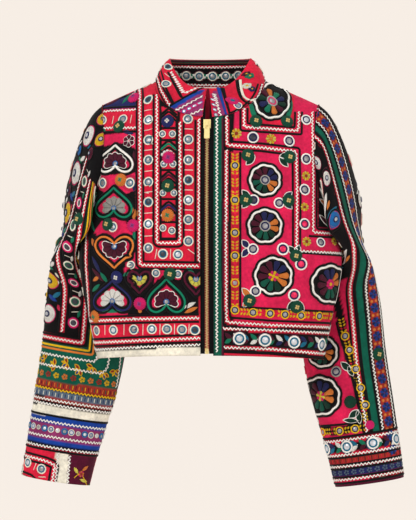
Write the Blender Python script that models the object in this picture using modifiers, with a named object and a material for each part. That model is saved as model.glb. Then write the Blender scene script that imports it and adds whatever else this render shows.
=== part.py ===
# Cropped patchwork jacket, zipped up and filled out as if worn, with nobody inside.
# Metres, +Z up. The front faces -Y, and the wearer's left side is at +X.
# The origin is the middle of the neck base, level with the shoulder seams at the neck.

import math

import bpy
import numpy as np
from mathutils import Matrix, Vector
from mathutils.bvhtree import BVHTree

# Cloth and seams
CLOTH = 0.0025  # quilted cotton with its embroidery
SEAM_GAP = 0.0003  # between pieces that meet or lie on each other
SEAM_ROW = 0.002  # the last row of faces beside a seam, narrow so that seam walls stand square
SEAM_SIDE = 0.7 * SEAM_GAP  # how far each piece stands back from a side or shoulder seam

# Body of the jacket
FRONT, BACK = -1, 1
LOW_ROWS = 8  # of faces, from the hem to the underarm
HIGH_ROWS = 12  # from the underarm to the top, before the narrow row at the seam
NECK_HALF = 0.095  # from the middle to the shoulder seam's neck end
NECK_DROP_FRONT = 0.0635
NECK_DROP_BACK = 0.008
SHOULDER_HALF = 0.186  # from the middle to the shoulder seam's sleeve end
SHOULDER_SLOPE = 0.47
SHOULDER_BEND = 0.05  # how softly the shoulder line levels off towards the neck
ROUND_OVER_FRONT = 0.100  # height over which the chest curves up into the shoulder seam
ROUND_OVER_BACK = 0.085
UNDERARM_Z = -0.222
HEM_Z_MIDDLE = -0.4695
HEM_DIP_SIDE = 0.0105
FRONT_EDGE = 0.011  # from the middle of the zip to the edge of each front

# Heights down the body, and the ring of cloth at each
TORSO_COLUMNS = ("z", "half_width", "side_y", "front_y", "back_y", "front_square", "back_square")
TORSO_SECTIONS = (
    (0.030, 0.200, 0.000, -0.064, 0.060, 2.00, 2.00),
    (-0.040, 0.206, 0.000, -0.079, 0.070, 2.00, 2.00),
    (-0.130, 0.208, -0.002, -0.093, 0.080, 2.10, 2.00),
    (-0.185, 0.205, -0.006, -0.098, 0.079, 2.25, 1.95),
    (-0.222, 0.205, -0.008, -0.100, 0.075, 2.15, 1.85),
    (-0.260, 0.215, -0.008, -0.100, 0.069, 2.20, 1.76),
    (-0.300, 0.228, -0.010, -0.099, 0.065, 2.50, 1.72),
    (-0.350, 0.222, -0.012, -0.097, 0.064, 2.40, 1.74),
    (-0.410, 0.209, -0.010, -0.095, 0.065, 2.30, 1.80),
    (-0.485, 0.195, -0.008, -0.092, 0.066, 2.30, 1.90),
)
# How far out each armhole's edge lies, from the underarm to the shoulder
ARMHOLE_COLUMNS = ("z", "edge_x")
ARMHOLE_EDGE = (
    (-0.222, 0.2050),
    (-0.205, 0.1960),
    (-0.185, 0.1895),
    (-0.150, 0.1830),
    (-0.110, 0.1805),
    (-0.075, 0.1820),
    (-0.040, 0.1860),
)
# Soft hanging folds of the body: where they run, how wide and how high they are
BODY_FOLD_COLUMNS = ("x", "z", "lean", "half_width", "half_length", "height")
FRONT_FOLDS = (
    (0.150, -0.300, 0.35, 0.022, 0.120, 0.0035),
    (0.080, -0.430, -0.15, 0.030, 0.080, 0.0022),
    (0.168, -0.170, 0.50, 0.014, 0.060, 0.0025),
    (0.120, -0.385, 0.25, 0.018, 0.070, -0.0018),
)
BACK_FOLDS = (
    (0.120, -0.260, 0.30, 0.026, 0.130, 0.0035),
    (0.045, -0.400, -0.10, 0.028, 0.090, 0.0025),
    (0.150, -0.160, 0.45, 0.016, 0.070, 0.0025),
)

# Stand collar
COLLAR_TOP_HALF = 0.0705
COLLAR_TOP_FRONT_Y = -0.062
COLLAR_TOP_BACK_Y = 0.048
COLLAR_TOP_FRONT_Z = -0.013
COLLAR_TOP_BACK_Z = 0.041
COLLAR_BULGE = 0.0045
COLLAR_GAP_BOTTOM = 0.0085  # from the middle to each end of the collar
COLLAR_GAP_TOP = 0.0016
COLLAR_LIFT = 0.0008  # above the neckline's edge

# Sleeves: rings from the biceps to the wrist, each an oval on a leaning plane
SLEEVE_COLUMNS = ("x", "y", "z", "half_long", "half_short", "turn_deg", "lean_deg")
SLEEVE_SECTIONS = (
    (0.2310, 0.006, -0.250, 0.078, 0.0240, 105, 20),
    (0.2400, 0.036, -0.305, 0.078, 0.0250, 75, 16),
    (0.2215, 0.062, -0.355, 0.076, 0.0360, 38, 14),
    (0.222, 0.070, -0.412, 0.076, 0.041, 19, 12),
    (0.230, 0.068, -0.480, 0.0745, 0.041, 12, 11),
    (0.248, 0.060, -0.568, 0.0695, 0.041, 8, 10),
    (0.2635, 0.050, -0.640, 0.0645, 0.040, 5, 9),
    (0.275, 0.042, -0.695, 0.0605, 0.039, 0, 8.5),
)
SLEEVE_CAP_RINGS = 6
SLEEVE_TUBE_RINGS = 13
SLEEVE_SETTLE = 4  # rounds of smoothing where the sleeve lies against the body
SLEEVE_START = (0.90, 0.0, -0.43)  # the way the sleeve head leaves the armhole
SLEEVE_CLEARANCE = 0.0055  # from the body where the sleeve lies against it
# Creases of the sleeve: place around it, place down it, and size
SLEEVE_FOLD_COLUMNS = ("around_deg", "down", "slant", "half_width", "half_reach_deg", "height")
SLEEVE_FOLDS = (
    (150, 0.36, 0.10, 0.018, 70, 0.0040),
    (130, 0.47, 0.08, 0.016, 60, 0.0035),
    (200, 0.56, -0.08, 0.018, 70, 0.0035),
    (60, 0.66, 0.06, 0.016, 55, 0.0025),
    (180, 0.76, 0.05, 0.018, 65, 0.0030),
    (290, 0.52, -0.06, 0.018, 60, 0.0030),
)

# Zip
TAPE_INNER_X, TAPE_OUTER_X = 0.0036, 0.0175
TAPE_THICK = 0.0008
TAPE_DEPTH = CLOTH + 3.5 * SEAM_GAP  # its face, below the cloth's face
TAPE_TOP_SHARE = 0.62  # how far up the collar the tapes reach
CHAIN_HALF = 0.0031
CHAIN_THICK = 0.0028
CHAIN_DEPTH = 0.0016  # its face, below the cloth's face
ZIP_BOTTOM_Z = -0.4665
TAPE_STEPS, CHAIN_STEPS = 26, 24  # points up each strip
BOX_HEIGHT, BOX_HALF, BOX_THICK = 0.009, 0.0046, 0.0046
SLIDER_Z = -0.0745
SLIDER_LENGTH, SLIDER_HALF = 0.0150, 0.0062
SLIDER_FACE = 0.0004  # top of its upper plate, above the cloth's face
SLIDER_PLATE = 0.0015
SLIDER_BACK_TOP = -0.0049
SLIDER_BACK_PLATE = 0.0010
POST_HALF, POST_FOOT_Z, POST_LENGTH = 0.0024, 0.0006, 0.0048
SLIDER_BITE = 0.0005  # how far its parts run into each other
CROWN_HALF, CROWN_LENGTH, CROWN_HEIGHT = 0.0016, 0.0086, 0.0036
CROWN_WINDOW_LENGTH, CROWN_WINDOW_HEIGHT = 0.0052, 0.0026
PULL_HALF, PULL_LENGTH, PULL_THICK = 0.0046, 0.0250, 0.0012
PULL_EYE_HALF, PULL_EYE_LENGTH = 0.0024, 0.0061
PULL_BAR = 0.0016  # the bar above the eye, which turns under the crown
PIVOT_SHIFT = -0.0014  # the bar hangs at the crown's lower end

# Domed thread buttons, each at (x, z) on its piece as seen from in front
BUTTON_RADIUS = 0.0112
BUTTON_HEIGHT = 0.0052
BUTTON_SIDES = 12
MERGE = 0.00001
BUTTON_LIFT = 0.0004  # above the highest cloth below it
SLOPE_STEP = 0.004  # between the points that give the cloth's slope under a button
SLOPE_DEGREES, SLOPE_SHARE = 12, 0.04  # the same on a sleeve, round it and down it
BUTTONS_FRONT_RIGHT = (
    (-0.130, -0.028), (-0.154, -0.078), (-0.148, -0.170), (-0.170, -0.246), (-0.126, -0.248),
    (-0.066, -0.230), (-0.068, -0.070), (-0.065, -0.132), (-0.066, -0.180), (-0.154, -0.336),
    (-0.114, -0.381), (-0.062, -0.330),
)
BUTTONS_FRONT_LEFT = (
    (0.083, -0.070), (0.135, -0.070), (0.070, -0.128), (0.140, -0.131), (0.067, -0.204),
    (0.138, -0.205), (0.151, -0.299), (0.073, -0.375), (0.152, -0.386),
)
BUTTONS_BACK = (
    (-0.120, -0.110), (0.120, -0.110), (-0.120, -0.235), (0.120, -0.235), (0.0, -0.172),
    (0.0, -0.310), (-0.110, -0.375), (0.110, -0.375),
)
# On a sleeve: degrees round from its outer edge towards the front, and share of its length
BUTTONS_SLEEVE_RIGHT = ((20, 0.42), (75, 0.33))
BUTTONS_SLEEVE_LEFT = ((40, 0.70), (95, 0.80), (250, 0.60))

# Colours of the materials
COLOURS = {
    "crimson": (0.70, 0.035, 0.085),
    "black": (0.012, 0.011, 0.013),
    "green": (0.010, 0.110, 0.075),
    "cream": (0.70, 0.66, 0.58),
    "brass": (0.72, 0.55, 0.20),
    "pink": (0.75, 0.03, 0.16),
    "orange": (0.83, 0.30, 0.08),
    "navy": (0.02, 0.025, 0.10),
}


def clear_scene():
    for thing in list(bpy.data.objects):
        bpy.data.objects.remove(thing)


def collection(name):
    made = bpy.data.collections.new(name)
    bpy.context.scene.collection.children.link(made)
    return made


def material(name, rough, metal=0.0):
    made = bpy.data.materials.get(name)
    if made is None:
        made = bpy.data.materials.new(name)
        made.use_nodes = True
        shader = made.node_tree.nodes["Principled BSDF"]
        shader.inputs["Base Color"].default_value = (*COLOURS[name], 1.0)
        shader.inputs["Roughness"].default_value = rough
        shader.inputs["Metallic"].default_value = metal
        made.diffuse_color = (*COLOURS[name], 1.0)
    return made


def curve_through(places, values):
    """A smooth line through a table's values, level where the values turn back."""
    order = np.argsort(places)
    xs = np.asarray(places, float)[order]
    ys = np.asarray(values, float)[order]
    rise = np.diff(ys) / np.diff(xs)
    slopes = np.zeros(len(xs))
    slopes[0], slopes[-1] = rise[0], rise[-1]
    for i in range(1, len(xs) - 1):
        slopes[i] = 0.0 if rise[i - 1] * rise[i] <= 0 else 2 / (1 / rise[i - 1] + 1 / rise[i])

    def value(x):
        x = np.clip(x, xs[0], xs[-1])
        i = np.clip(np.searchsorted(xs, x) - 1, 0, len(xs) - 2)
        width = xs[i + 1] - xs[i]
        t = (x - xs[i]) / width
        return (
            ys[i] * (1 + 2 * t) * (1 - t) ** 2
            + slopes[i] * width * t * (1 - t) ** 2
            + ys[i + 1] * t * t * (3 - 2 * t)
            - slopes[i + 1] * width * t * t * (1 - t)
        )

    return value


def curves_of(rows, columns, over):
    """One smooth line for each named column of a table, over one of its columns."""
    places = [row[columns.index(over)] for row in rows]
    return {
        name: curve_through(places, [row[k] for row in rows])
        for k, name in enumerate(columns)
        if name != over
    }


TORSO = curves_of(TORSO_SECTIONS, TORSO_COLUMNS, "z")
ARMHOLE = curves_of(ARMHOLE_EDGE, ARMHOLE_COLUMNS, "z")


def shoulder_z(x):
    """Height of the shoulder line at x, carried on level behind the neck."""
    level = math.hypot(NECK_HALF, SHOULDER_BEND)
    return SHOULDER_SLOPE * (level - np.hypot(x, SHOULDER_BEND))


def neckline_z(face, x):
    drop = NECK_DROP_FRONT if face == FRONT else NECK_DROP_BACK
    return -drop * np.sqrt(np.maximum(0.0, 1 - (x / NECK_HALF) ** 2))


def hem_z(share):
    return HEM_Z_MIDDLE - HEM_DIP_SIDE * share**2


def section(face, z, start):
    """Points of one half of a ring, from x = start to the side seam or the armhole's edge."""
    half = float(TORSO["half_width"](z))
    side_y = float(TORSO["side_y"](z))
    depth = float(TORSO["front_y" if face == FRONT else "back_y"](z)) - side_y
    square = float(TORSO["front_square" if face == FRONT else "back_square"](z))
    edge = half if z <= UNDERARM_Z else min(half, float(ARMHOLE["edge_x"](z)))
    turns = np.linspace(
        math.asin((start / half) ** (square / 2)), math.asin((edge / half) ** (square / 2)), 65
    )
    x = half * np.sin(turns) ** (2 / square)
    y = side_y + depth * np.maximum(0.0, np.cos(turns)) ** (2 / square)
    reach = ROUND_OVER_FRONT if face == FRONT else ROUND_OVER_BACK
    below = np.clip((shoulder_z(x) - z) / reach, 0.0, 1.0)
    return x, y * np.sqrt(1 - (1 - below) ** 2)


def along(x, y):
    return path_length(np.stack([x, y], axis=1))


def share_of(face, x, z, start):
    """How far round its ring the point at x lies, from 0 at the start to 1 at the edge."""
    xs, ys = section(face, z, start)
    length = along(xs, ys)
    return float(np.interp(x, xs, length) / length[-1])


def fold_height(folds, columns, x, z):
    """Height of the soft folds at a place on the body."""
    total = 0.0
    for row in folds:
        fold = dict(zip(columns, row))
        down = z - fold["z"]
        across = x - fold["x"] - fold["lean"] * down
        total += fold["height"] * math.exp(
            -((across / fold["half_width"]) ** 2) - (down / fold["half_length"]) ** 2
        )
    return total


def body_point(face, share, z, start):
    """A point of the cloth's outer face, at +X."""
    xs, ys = section(face, z, start)
    length = along(xs, ys)
    at = share * length[-1]
    x, y = float(np.interp(at, length, xs)), float(np.interp(at, length, ys))
    half, side_y = float(TORSO["half_width"](z)), float(TORSO["side_y"](z))
    outward = np.array([x / half**2, (y - side_y) / 0.09**2])
    outward /= max(1e-9, float(np.hypot(*outward)))
    folds = FRONT_FOLDS if face == FRONT else BACK_FOLDS
    swell = fold_height(folds, BODY_FOLD_COLUMNS, x, z)
    swell *= min(1.0, 14 * share * (1 - share)) * min(1.0, max(0.0, (shoulder_z(x) - z) / 0.03))
    return np.array([x + outward[0] * swell, y + outward[1] * swell, z])


def body_column(face, top_x, start):
    """Points up the cloth from the hem, with the underarm's height always at the same row."""
    in_neck = top_x < NECK_HALF - 1e-6
    top_z = float(neckline_z(face, top_x) if in_neck else shoulder_z(top_x))
    share = share_of(face, top_x, top_z, start)
    low_z = hem_z(share)
    heights = np.concatenate([
        np.linspace(low_z, UNDERARM_Z, 40),
        UNDERARM_Z + (top_z - UNDERARM_Z) * (1 - (1 - np.linspace(0, 1, 90)[1:]) ** 2),
    ])
    line = np.array([body_point(face, share, z, start) for z in heights])
    length = path_length(line)
    trim = 0.0 if in_neck else SEAM_SIDE
    low = np.linspace(0, length[39], LOW_ROWS + 1)
    high = np.linspace(length[39], length[-1] - trim, HIGH_ROWS + 1)[1:]
    stops = np.concatenate([low, high[:-1], [high[-1] - SEAM_ROW, high[-1]]])
    return at_lengths(line, length, stops)


def path_length(line):
    steps = np.linalg.norm(np.diff(line, axis=0), axis=1)
    return np.concatenate([[0.0], np.cumsum(steps)])


def at_lengths(line, length, stops):
    return np.array([[np.interp(s, length, line[:, k]) for k in range(3)] for s in stops])


def top_places(start, neck_steps, shoulder_steps):
    """Where the columns of a half meet its top edge."""
    neck = start + (NECK_HALF - start) * np.sin(np.linspace(0, math.pi / 2, neck_steps + 1))
    shoulder = np.linspace(NECK_HALF, SHOULDER_HALF, shoulder_steps + 1)[1:]
    return list(neck) + list(shoulder)


def half_body(face, start, neck_steps=5, shoulder_steps=6):
    """Columns of points over one half of a body panel, at +X, with the side seam's gap."""
    columns = [body_column(face, x, start) for x in top_places(start, neck_steps, shoulder_steps)]
    edge, inner = columns[-1].copy(), columns[-2]
    side = np.array([0.0, face, 0.0])
    beside = []
    for row, point in enumerate(edge):
        if row <= LOW_ROWS:
            columns[-1][row] = point + side * SEAM_SIDE
            beside.append(columns[-1][row] + side * SEAM_ROW)
        else:
            inward = inner[row] - point
            beside.append(point + inward / np.linalg.norm(inward) * SEAM_ROW)
    columns.insert(len(columns) - 1, np.array(beside))
    return columns


def mirrored(columns):
    return [column * np.array([-1, 1, 1]) for column in columns]


def grid_mesh(name, columns, closed=False):
    """An open surface through columns of points, closed round on itself for a tube."""
    count, rows = len(columns), len(columns[0])
    points = [tuple(point) for column in columns for point in column]
    faces = []
    for i in range(count if closed else count - 1):
        a, b = i * rows, (i + 1) % count * rows
        faces += [(a + k, b + k, b + k + 1, a + k + 1) for k in range(rows - 1)]
    mesh = bpy.data.meshes.new(name)
    mesh.from_pydata(points, [], faces)
    mesh.update()
    return mesh


def add_object(name, mesh, where, look, rough, metal):
    thing = bpy.data.objects.new(name, mesh)
    where.objects.link(thing)
    mesh.materials.append(material(look, rough, metal))
    mesh.shade_smooth()
    mesh.set_sharp_from_angle(angle=math.radians(50))
    return thing


def cloth_object(name, columns, where, look, closed=False, thick=CLOTH, rough=0.85, metal=0.0):
    """A wall of cloth on the inner side of an outer surface."""
    thing = add_object(name, grid_mesh(name, columns, closed), where, look, rough, metal)
    wall = thing.modifiers.new("wall", "SOLIDIFY")
    wall.thickness = thick
    wall.offset = -1.0
    wall.use_rim = True


def make_body(where):
    front = half_body(FRONT, FRONT_EDGE)
    cloth_object("front_left", front, where, "crimson")
    cloth_object("front_right", mirrored(front)[::-1], where, "black")
    back = half_body(BACK, 0.0)
    cloth_object("back", back[::-1] + mirrored(back)[1:], where, "crimson")
    return front, back


def armhole(front, back):
    """The armhole's edge at +X, down the front and up the back, and the way on across it."""
    top = LOW_ROWS + HIGH_ROWS + 1
    spots = [(front[-1][top] + back[-1][top]) / 2]
    ways = [front[-1][top] - front[-2][top] + back[-1][top] - back[-2][top]]
    for half, rows in ((front, range(top - 1, LOW_ROWS, -1)), (back, range(LOW_ROWS + 1, top))):
        if half is back:
            spots.append((front[-1][LOW_ROWS] + back[-1][LOW_ROWS]) / 2)
            ways.append(np.array([0.0, 0.0, 1.0]))
        for row in rows:
            edge = half[-1][row + 1] - half[-1][row - 1]
            edge /= np.linalg.norm(edge)
            across = half[-1][row] - half[-2][row]
            spots.append(half[-1][row])
            ways.append(across - edge * np.dot(edge, across))
    return np.array(spots), np.array([way / np.linalg.norm(way) for way in ways])


def sleeve_oval(row, around):
    """One ring of the sleeve's outer face."""
    part = dict(zip(SLEEVE_COLUMNS, row))
    lean, turn = math.radians(part["lean_deg"]), math.radians(part["turn_deg"])
    outward = np.array([math.cos(lean), 0, math.sin(lean)])
    forward = np.array([0, -1.0, 0])
    long = part["half_long"] * np.cos(around - turn)
    short = part["half_short"] * np.sin(around - turn)
    across = long * math.cos(turn) - short * math.sin(turn)
    ahead = long * math.sin(turn) + short * math.cos(turn)
    centre = np.array([part["x"], part["y"], part["z"]])
    return centre + across[:, None] * outward + ahead[:, None] * forward


def clear_of_body(point, clearance=SLEEVE_CLEARANCE):
    """Moves a point of the sleeve out of the body's ring, where it would lie against it."""
    x, y, z = point
    if z > UNDERARM_Z - 0.001:
        return point
    half, side_y = float(TORSO["half_width"](z)), float(TORSO["side_y"](z))
    face = FRONT if y < side_y else BACK
    depth = abs(float(TORSO["front_y" if face == FRONT else "back_y"](z)) - side_y)
    square = float(TORSO["front_square" if face == FRONT else "back_square"](z))
    reach = ((abs(x) / half) ** square + (abs(y - side_y) / depth) ** square) ** (1 / square)
    fade = min(1.0, (UNDERARM_Z - z) / 0.02)
    needed = 1 + (0.25 + 0.75 * fade) * clearance / (0.6 * half)
    if reach >= needed:
        return point
    return np.array([x * needed / reach, side_y + (y - side_y) * needed / reach, z])


def sleeve_rings(front, back):
    """Rings of the left sleeve's outer face, from the armhole to the cuff."""
    spots, ways = armhole(front, back)
    count = len(spots)
    around = np.linspace(0, 2 * math.pi, count + 1)[:-1]
    seam = spots + ways * SEAM_GAP
    head = seam + ways * SEAM_ROW
    middle = head.mean(axis=0)
    places = [row[SLEEVE_COLUMNS.index("z")] for row in SLEEVE_SECTIONS]
    lines = curves_of(SLEEVE_SECTIONS, SLEEVE_COLUMNS, "z")

    def oval(z):
        row = [z if name == "z" else float(lines[name](z)) for name in SLEEVE_COLUMNS]
        return sleeve_oval(row, around)

    first, second = oval(places[0]), oval(places[0] - 0.006)
    start = np.array(SLEEVE_START) / np.linalg.norm(SLEEVE_START)
    rings = [seam]
    for step in range(SLEEVE_CAP_RINGS):
        t = step / SLEEVE_CAP_RINGS
        ring = []
        for k in range(count):
            radial = head[k] - middle
            radial /= np.linalg.norm(radial)
            leave = start + 0.28 * radial * (1.0 if radial[2] < 0.7 else 0.2)
            leave /= np.linalg.norm(leave)
            span = np.linalg.norm(first[k] - head[k])
            arrive = (second[k] - first[k]) / np.linalg.norm(second[k] - first[k])
            bend = span * (0.55 if span > 0.1 else 0.8)
            ring.append(
                head[k] * (1 + 2 * t) * (1 - t) ** 2
                + leave * bend * t * (1 - t) ** 2
                + first[k] * t * t * (3 - 2 * t)
                - arrive * bend * 1.15 * t * t * (1 - t)
            )
        rings.append(np.array(ring))
    rings += [oval(z) for z in np.linspace(places[0], places[-1], SLEEVE_TUBE_RINGS)]
    rings = [crease(ring, n / (len(rings) - 1), around) for n, ring in enumerate(rings)]
    return settle(rings)


def settle(rings):
    """Eases the sleeve off the body and softens the folds that this leaves."""
    rings = [ring.copy() for ring in rings]
    for _ in range(SLEEVE_SETTLE):
        for n in range(2, len(rings)):
            rings[n] = np.array([clear_of_body(point) for point in rings[n]])
        softer = [ring.copy() for ring in rings]
        for n in range(2, len(rings) - 1):
            ring = rings[n]
            beside = (np.roll(ring, 1, axis=0) + np.roll(ring, -1, axis=0)) / 2
            along_it = (rings[n - 1] + rings[n + 1]) / 2
            near = np.array([near_body(point) for point in ring])[:, None]
            softer[n] = ring + near * (0.3 * (beside - ring) + 0.2 * (along_it - ring))
        rings = softer
    for n in range(2, len(rings)):
        rings[n] = np.array([clear_of_body(point) for point in rings[n]])
    return rings


def near_body(point):
    """1 where a point lies by the body's side, falling to 0 away from it."""
    half, side_y = float(TORSO["half_width"](point[2])), float(TORSO["side_y"](point[2]))
    away = math.hypot(max(0.0, point[0] - half), max(0.0, abs(point[1] - side_y) - 0.07))
    down = min(1.0, max(0.0, (-0.20 - point[2]) / 0.03))
    return down * math.exp(-((away / 0.03) ** 2))


def crease(ring, down, around):
    """Adds the sleeve's creases to one of its rings."""
    middle = ring.mean(axis=0)
    made = []
    for point, angle in zip(ring, around):
        swell = 0.0
        for row in SLEEVE_FOLDS:
            fold = dict(zip(SLEEVE_FOLD_COLUMNS, row))
            off = (math.degrees(angle) - fold["around_deg"] + 180) % 360 - 180
            drop = (down - fold["down"] - fold["slant"] * off / 90) * 0.62
            swell += fold["height"] * math.exp(
                -((drop / fold["half_width"]) ** 2) - (off / fold["half_reach_deg"]) ** 2
            )
        way = point - middle
        made.append(point + way / np.linalg.norm(way) * swell * min(1.0, 6 * (1 - down)))
    return np.array(made)


def make_sleeves(front, back, where):
    rings = sleeve_rings(front, back)
    columns = [np.array([ring[k] for ring in rings]) for k in range(len(rings[0]))]
    cloth_object("sleeve_left", columns, where, "crimson", closed=True)
    cloth_object("sleeve_right", mirrored(columns)[::-1], where, "green", closed=True)
    return rings


def neck_curve(count):
    """The neckline at +X, from the end of the collar at the zip round to the middle of the back."""
    points = []
    for x in np.sin(np.linspace(0, math.pi / 2, 40)) * NECK_HALF:
        points.append(neck_point(FRONT, x))
    for x in np.sin(np.linspace(math.pi / 2, 0, 40))[1:] * NECK_HALF:
        points.append(neck_point(BACK, x))
    line = np.array(points)
    length = path_length(line)
    return at_lengths(line, length, np.linspace(COLLAR_GAP_BOTTOM, length[-1], count))


def neck_point(face, x):
    z = float(neckline_z(face, x))
    xs, ys = section(face, z, 0.0)
    return np.array([x, float(np.interp(x, xs, ys)), z])


def collar_top(turn):
    """A point of the collar's top edge, at 0 in front and pi at the middle of the back."""
    x = COLLAR_TOP_HALF * math.sin(turn)
    middle = (COLLAR_TOP_FRONT_Y + COLLAR_TOP_BACK_Y) / 2
    half = (COLLAR_TOP_BACK_Y - COLLAR_TOP_FRONT_Y) / 2
    rise = math.sin(turn) ** 3 if turn < math.pi / 2 else 1.0
    z = COLLAR_TOP_FRONT_Z + (COLLAR_TOP_BACK_Z - COLLAR_TOP_FRONT_Z) * rise
    return np.array([x, middle - half * math.cos(turn), z])


def collar_column(base, turn, rows):
    """Points up the collar, from the neckline to its top edge."""
    top = collar_top(turn)
    out = np.array([math.sin(turn), -math.cos(turn) * 0.9, 0.15])
    rise = (top - base) / np.linalg.norm(top - base)
    foot = base + rise * COLLAR_LIFT
    shares = np.linspace(0, 1, rows)
    return np.array([foot + (top - foot) * t + out * COLLAR_BULGE * 4 * t * (1 - t) for t in shares])


def make_collar(where, count=17, rows=6):
    first = math.asin(COLLAR_GAP_TOP / COLLAR_TOP_HALF)
    bases = neck_curve(count)
    turns = np.linspace(first, math.pi, count)
    half = [collar_column(base, turn, rows) for base, turn in zip(bases, turns)]
    cloth_object("collar", mirrored(half)[:-1] + half[::-1], where, "crimson")


def front_middle(z):
    """The line of the zip: the cloth's outer face at x = 0, carried on up behind the collar."""
    if z <= -NECK_DROP_FRONT:
        xs, ys = section(FRONT, z, 0.0)
        return np.array([0.0, ys[0], z])
    t = (z + NECK_DROP_FRONT) / (COLLAR_TOP_FRONT_Z + NECK_DROP_FRONT)
    foot = neck_point(FRONT, 0.0)
    return foot + (collar_top(0.0) - foot) * t


def zip_strip(x_low, x_high, z_low, z_high, depth, steps):
    """Two columns of points along the zip, below the cloth's face by the depth given."""
    line = []
    for z in np.linspace(z_low, z_high, steps):
        ahead = front_middle(z + 0.002) - front_middle(z - 0.002)
        inward = np.array([0.0, ahead[2], -ahead[1]]) / np.linalg.norm(ahead)
        line.append(front_middle(z) + inward * depth)
    line = np.array(line)
    return [line + np.array([x, 0, 0]) for x in (x_low, x_high)]


def make_zip_strips(where):
    top_z = -NECK_DROP_FRONT + TAPE_TOP_SHARE * (COLLAR_TOP_FRONT_Z + NECK_DROP_FRONT)
    tape = zip_strip(TAPE_INNER_X, TAPE_OUTER_X, ZIP_BOTTOM_Z, top_z, TAPE_DEPTH, TAPE_STEPS)
    cloth_object("zip_tape_left", tape, where, "black", thick=TAPE_THICK)
    cloth_object("zip_tape_right", mirrored(tape)[::-1], where, "black", thick=TAPE_THICK)
    low = ZIP_BOTTOM_Z + BOX_HEIGHT + SEAM_GAP
    chain = zip_strip(-CHAIN_HALF, CHAIN_HALF, low, SLIDER_Z, CHAIN_DEPTH, CHAIN_STEPS)
    cloth_object("zip_chain", chain, where, "brass", thick=CHAIN_THICK, rough=0.3, metal=1.0)


def box_mesh(name, low, high):
    """A box between two corners, from the cube primitive."""
    bpy.ops.mesh.primitive_cube_add(size=1.0, location=(0, 0, 0))
    thing = bpy.context.active_object
    thing.name = name
    low, high = np.array(low), np.array(high)
    for vertex in thing.data.vertices:
        share = np.array(vertex.co) + 0.5
        vertex.co = low + (high - low) * share
    return thing


def boolean(thing, other, operation):
    step = thing.modifiers.new(operation.lower(), "BOOLEAN")
    step.operation = operation
    step.object = other
    other.hide_render = True
    other.display_type = "WIRE"


def slider_frame():
    """Place and tilt of the slider on the zip's line."""
    ahead = front_middle(SLIDER_Z + 0.004) - front_middle(SLIDER_Z - 0.004)
    return front_middle(SLIDER_Z), math.atan2(-ahead[1], ahead[2])


def move_to(thing, place, tilt, where):
    for owner in list(thing.users_collection):
        owner.objects.unlink(thing)
    where.objects.link(thing)
    thing.location = place
    thing.rotation_euler = (tilt, 0.0, 0.0)


def make_slider(where, cutters):
    """In its own frame +Z runs up the zip and -Y points out of the jacket."""
    place, tilt = slider_frame()
    half_length = SLIDER_LENGTH / 2
    face_y, plate_y = -SLIDER_FACE, -SLIDER_FACE + SLIDER_PLATE
    back_y = -SLIDER_BACK_TOP
    slider = box_mesh(
        "zip_slider", (-SLIDER_HALF, face_y, -half_length), (SLIDER_HALF, plate_y, half_length)
    )
    lower = box_mesh(
        "slider_back_plate",
        (-SLIDER_HALF, back_y, -half_length),
        (SLIDER_HALF, back_y + SLIDER_BACK_PLATE, half_length),
    )
    post = box_mesh(
        "slider_post",
        (-POST_HALF, plate_y - SLIDER_BITE, POST_FOOT_Z),
        (POST_HALF, back_y + SLIDER_BITE, POST_FOOT_Z + POST_LENGTH),
    )
    crown = box_mesh(
        "slider_crown",
        (-CROWN_HALF, face_y - CROWN_HEIGHT, -CROWN_LENGTH / 2),
        (CROWN_HALF, face_y + SLIDER_BITE, CROWN_LENGTH / 2),
    )
    window = box_mesh(
        "slider_crown_window",
        (-CROWN_HALF * 2, face_y - CROWN_WINDOW_HEIGHT, -CROWN_WINDOW_LENGTH / 2),
        (CROWN_HALF * 2, face_y, CROWN_WINDOW_LENGTH / 2),
    )
    for other in (lower, post, crown, window):
        move_to(other, place, tilt, cutters)
    move_to(slider, place, tilt, where)
    boolean(slider, post, "UNION")
    boolean(slider, lower, "UNION")
    boolean(slider, crown, "UNION")
    boolean(slider, window, "DIFFERENCE")
    slider.data.materials.append(material("brass", 0.3, 1.0))


def make_pull(where, cutters):
    """The pull tab hangs from its bar under the crown, and turns about that bar."""
    place, tilt = slider_frame()
    out = SLIDER_FACE + CROWN_WINDOW_HEIGHT / 2
    up = np.array([0.0, -math.sin(tilt), math.cos(tilt)])
    outward = np.array([0.0, -math.cos(tilt), -math.sin(tilt)])
    pivot = place + outward * out + up * PIVOT_SHIFT
    half = PULL_THICK / 2
    pull = box_mesh(
        "zip_pull", (-PULL_HALF, -half, -PULL_LENGTH + PULL_BAR / 2), (PULL_HALF, half, PULL_BAR / 2)
    )
    eye = box_mesh(
        "pull_eye",
        (-PULL_EYE_HALF, -half * 2, -PULL_BAR / 2 - PULL_EYE_LENGTH),
        (PULL_EYE_HALF, half * 2, -PULL_BAR / 2),
    )
    move_to(eye, pivot, tilt, cutters)
    move_to(pull, pivot, tilt, where)
    boolean(pull, eye, "DIFFERENCE")
    pull.data.materials.append(material("brass", 0.3, 1.0))


def make_zip_box(where):
    middle = front_middle(ZIP_BOTTOM_Z + BOX_HEIGHT / 2)
    depth = CHAIN_DEPTH + CHAIN_THICK / 2
    thing = box_mesh(
        "zip_box",
        (-CHAIN_HALF, -BOX_THICK / 2, -BOX_HEIGHT / 2),
        (CHAIN_HALF, BOX_THICK / 2, BOX_HEIGHT / 2),
    )
    move_to(thing, (0.0, middle[1] + depth, middle[2]), 0.0, where)
    thing.data.materials.append(material("brass", 0.3, 1.0))


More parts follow.
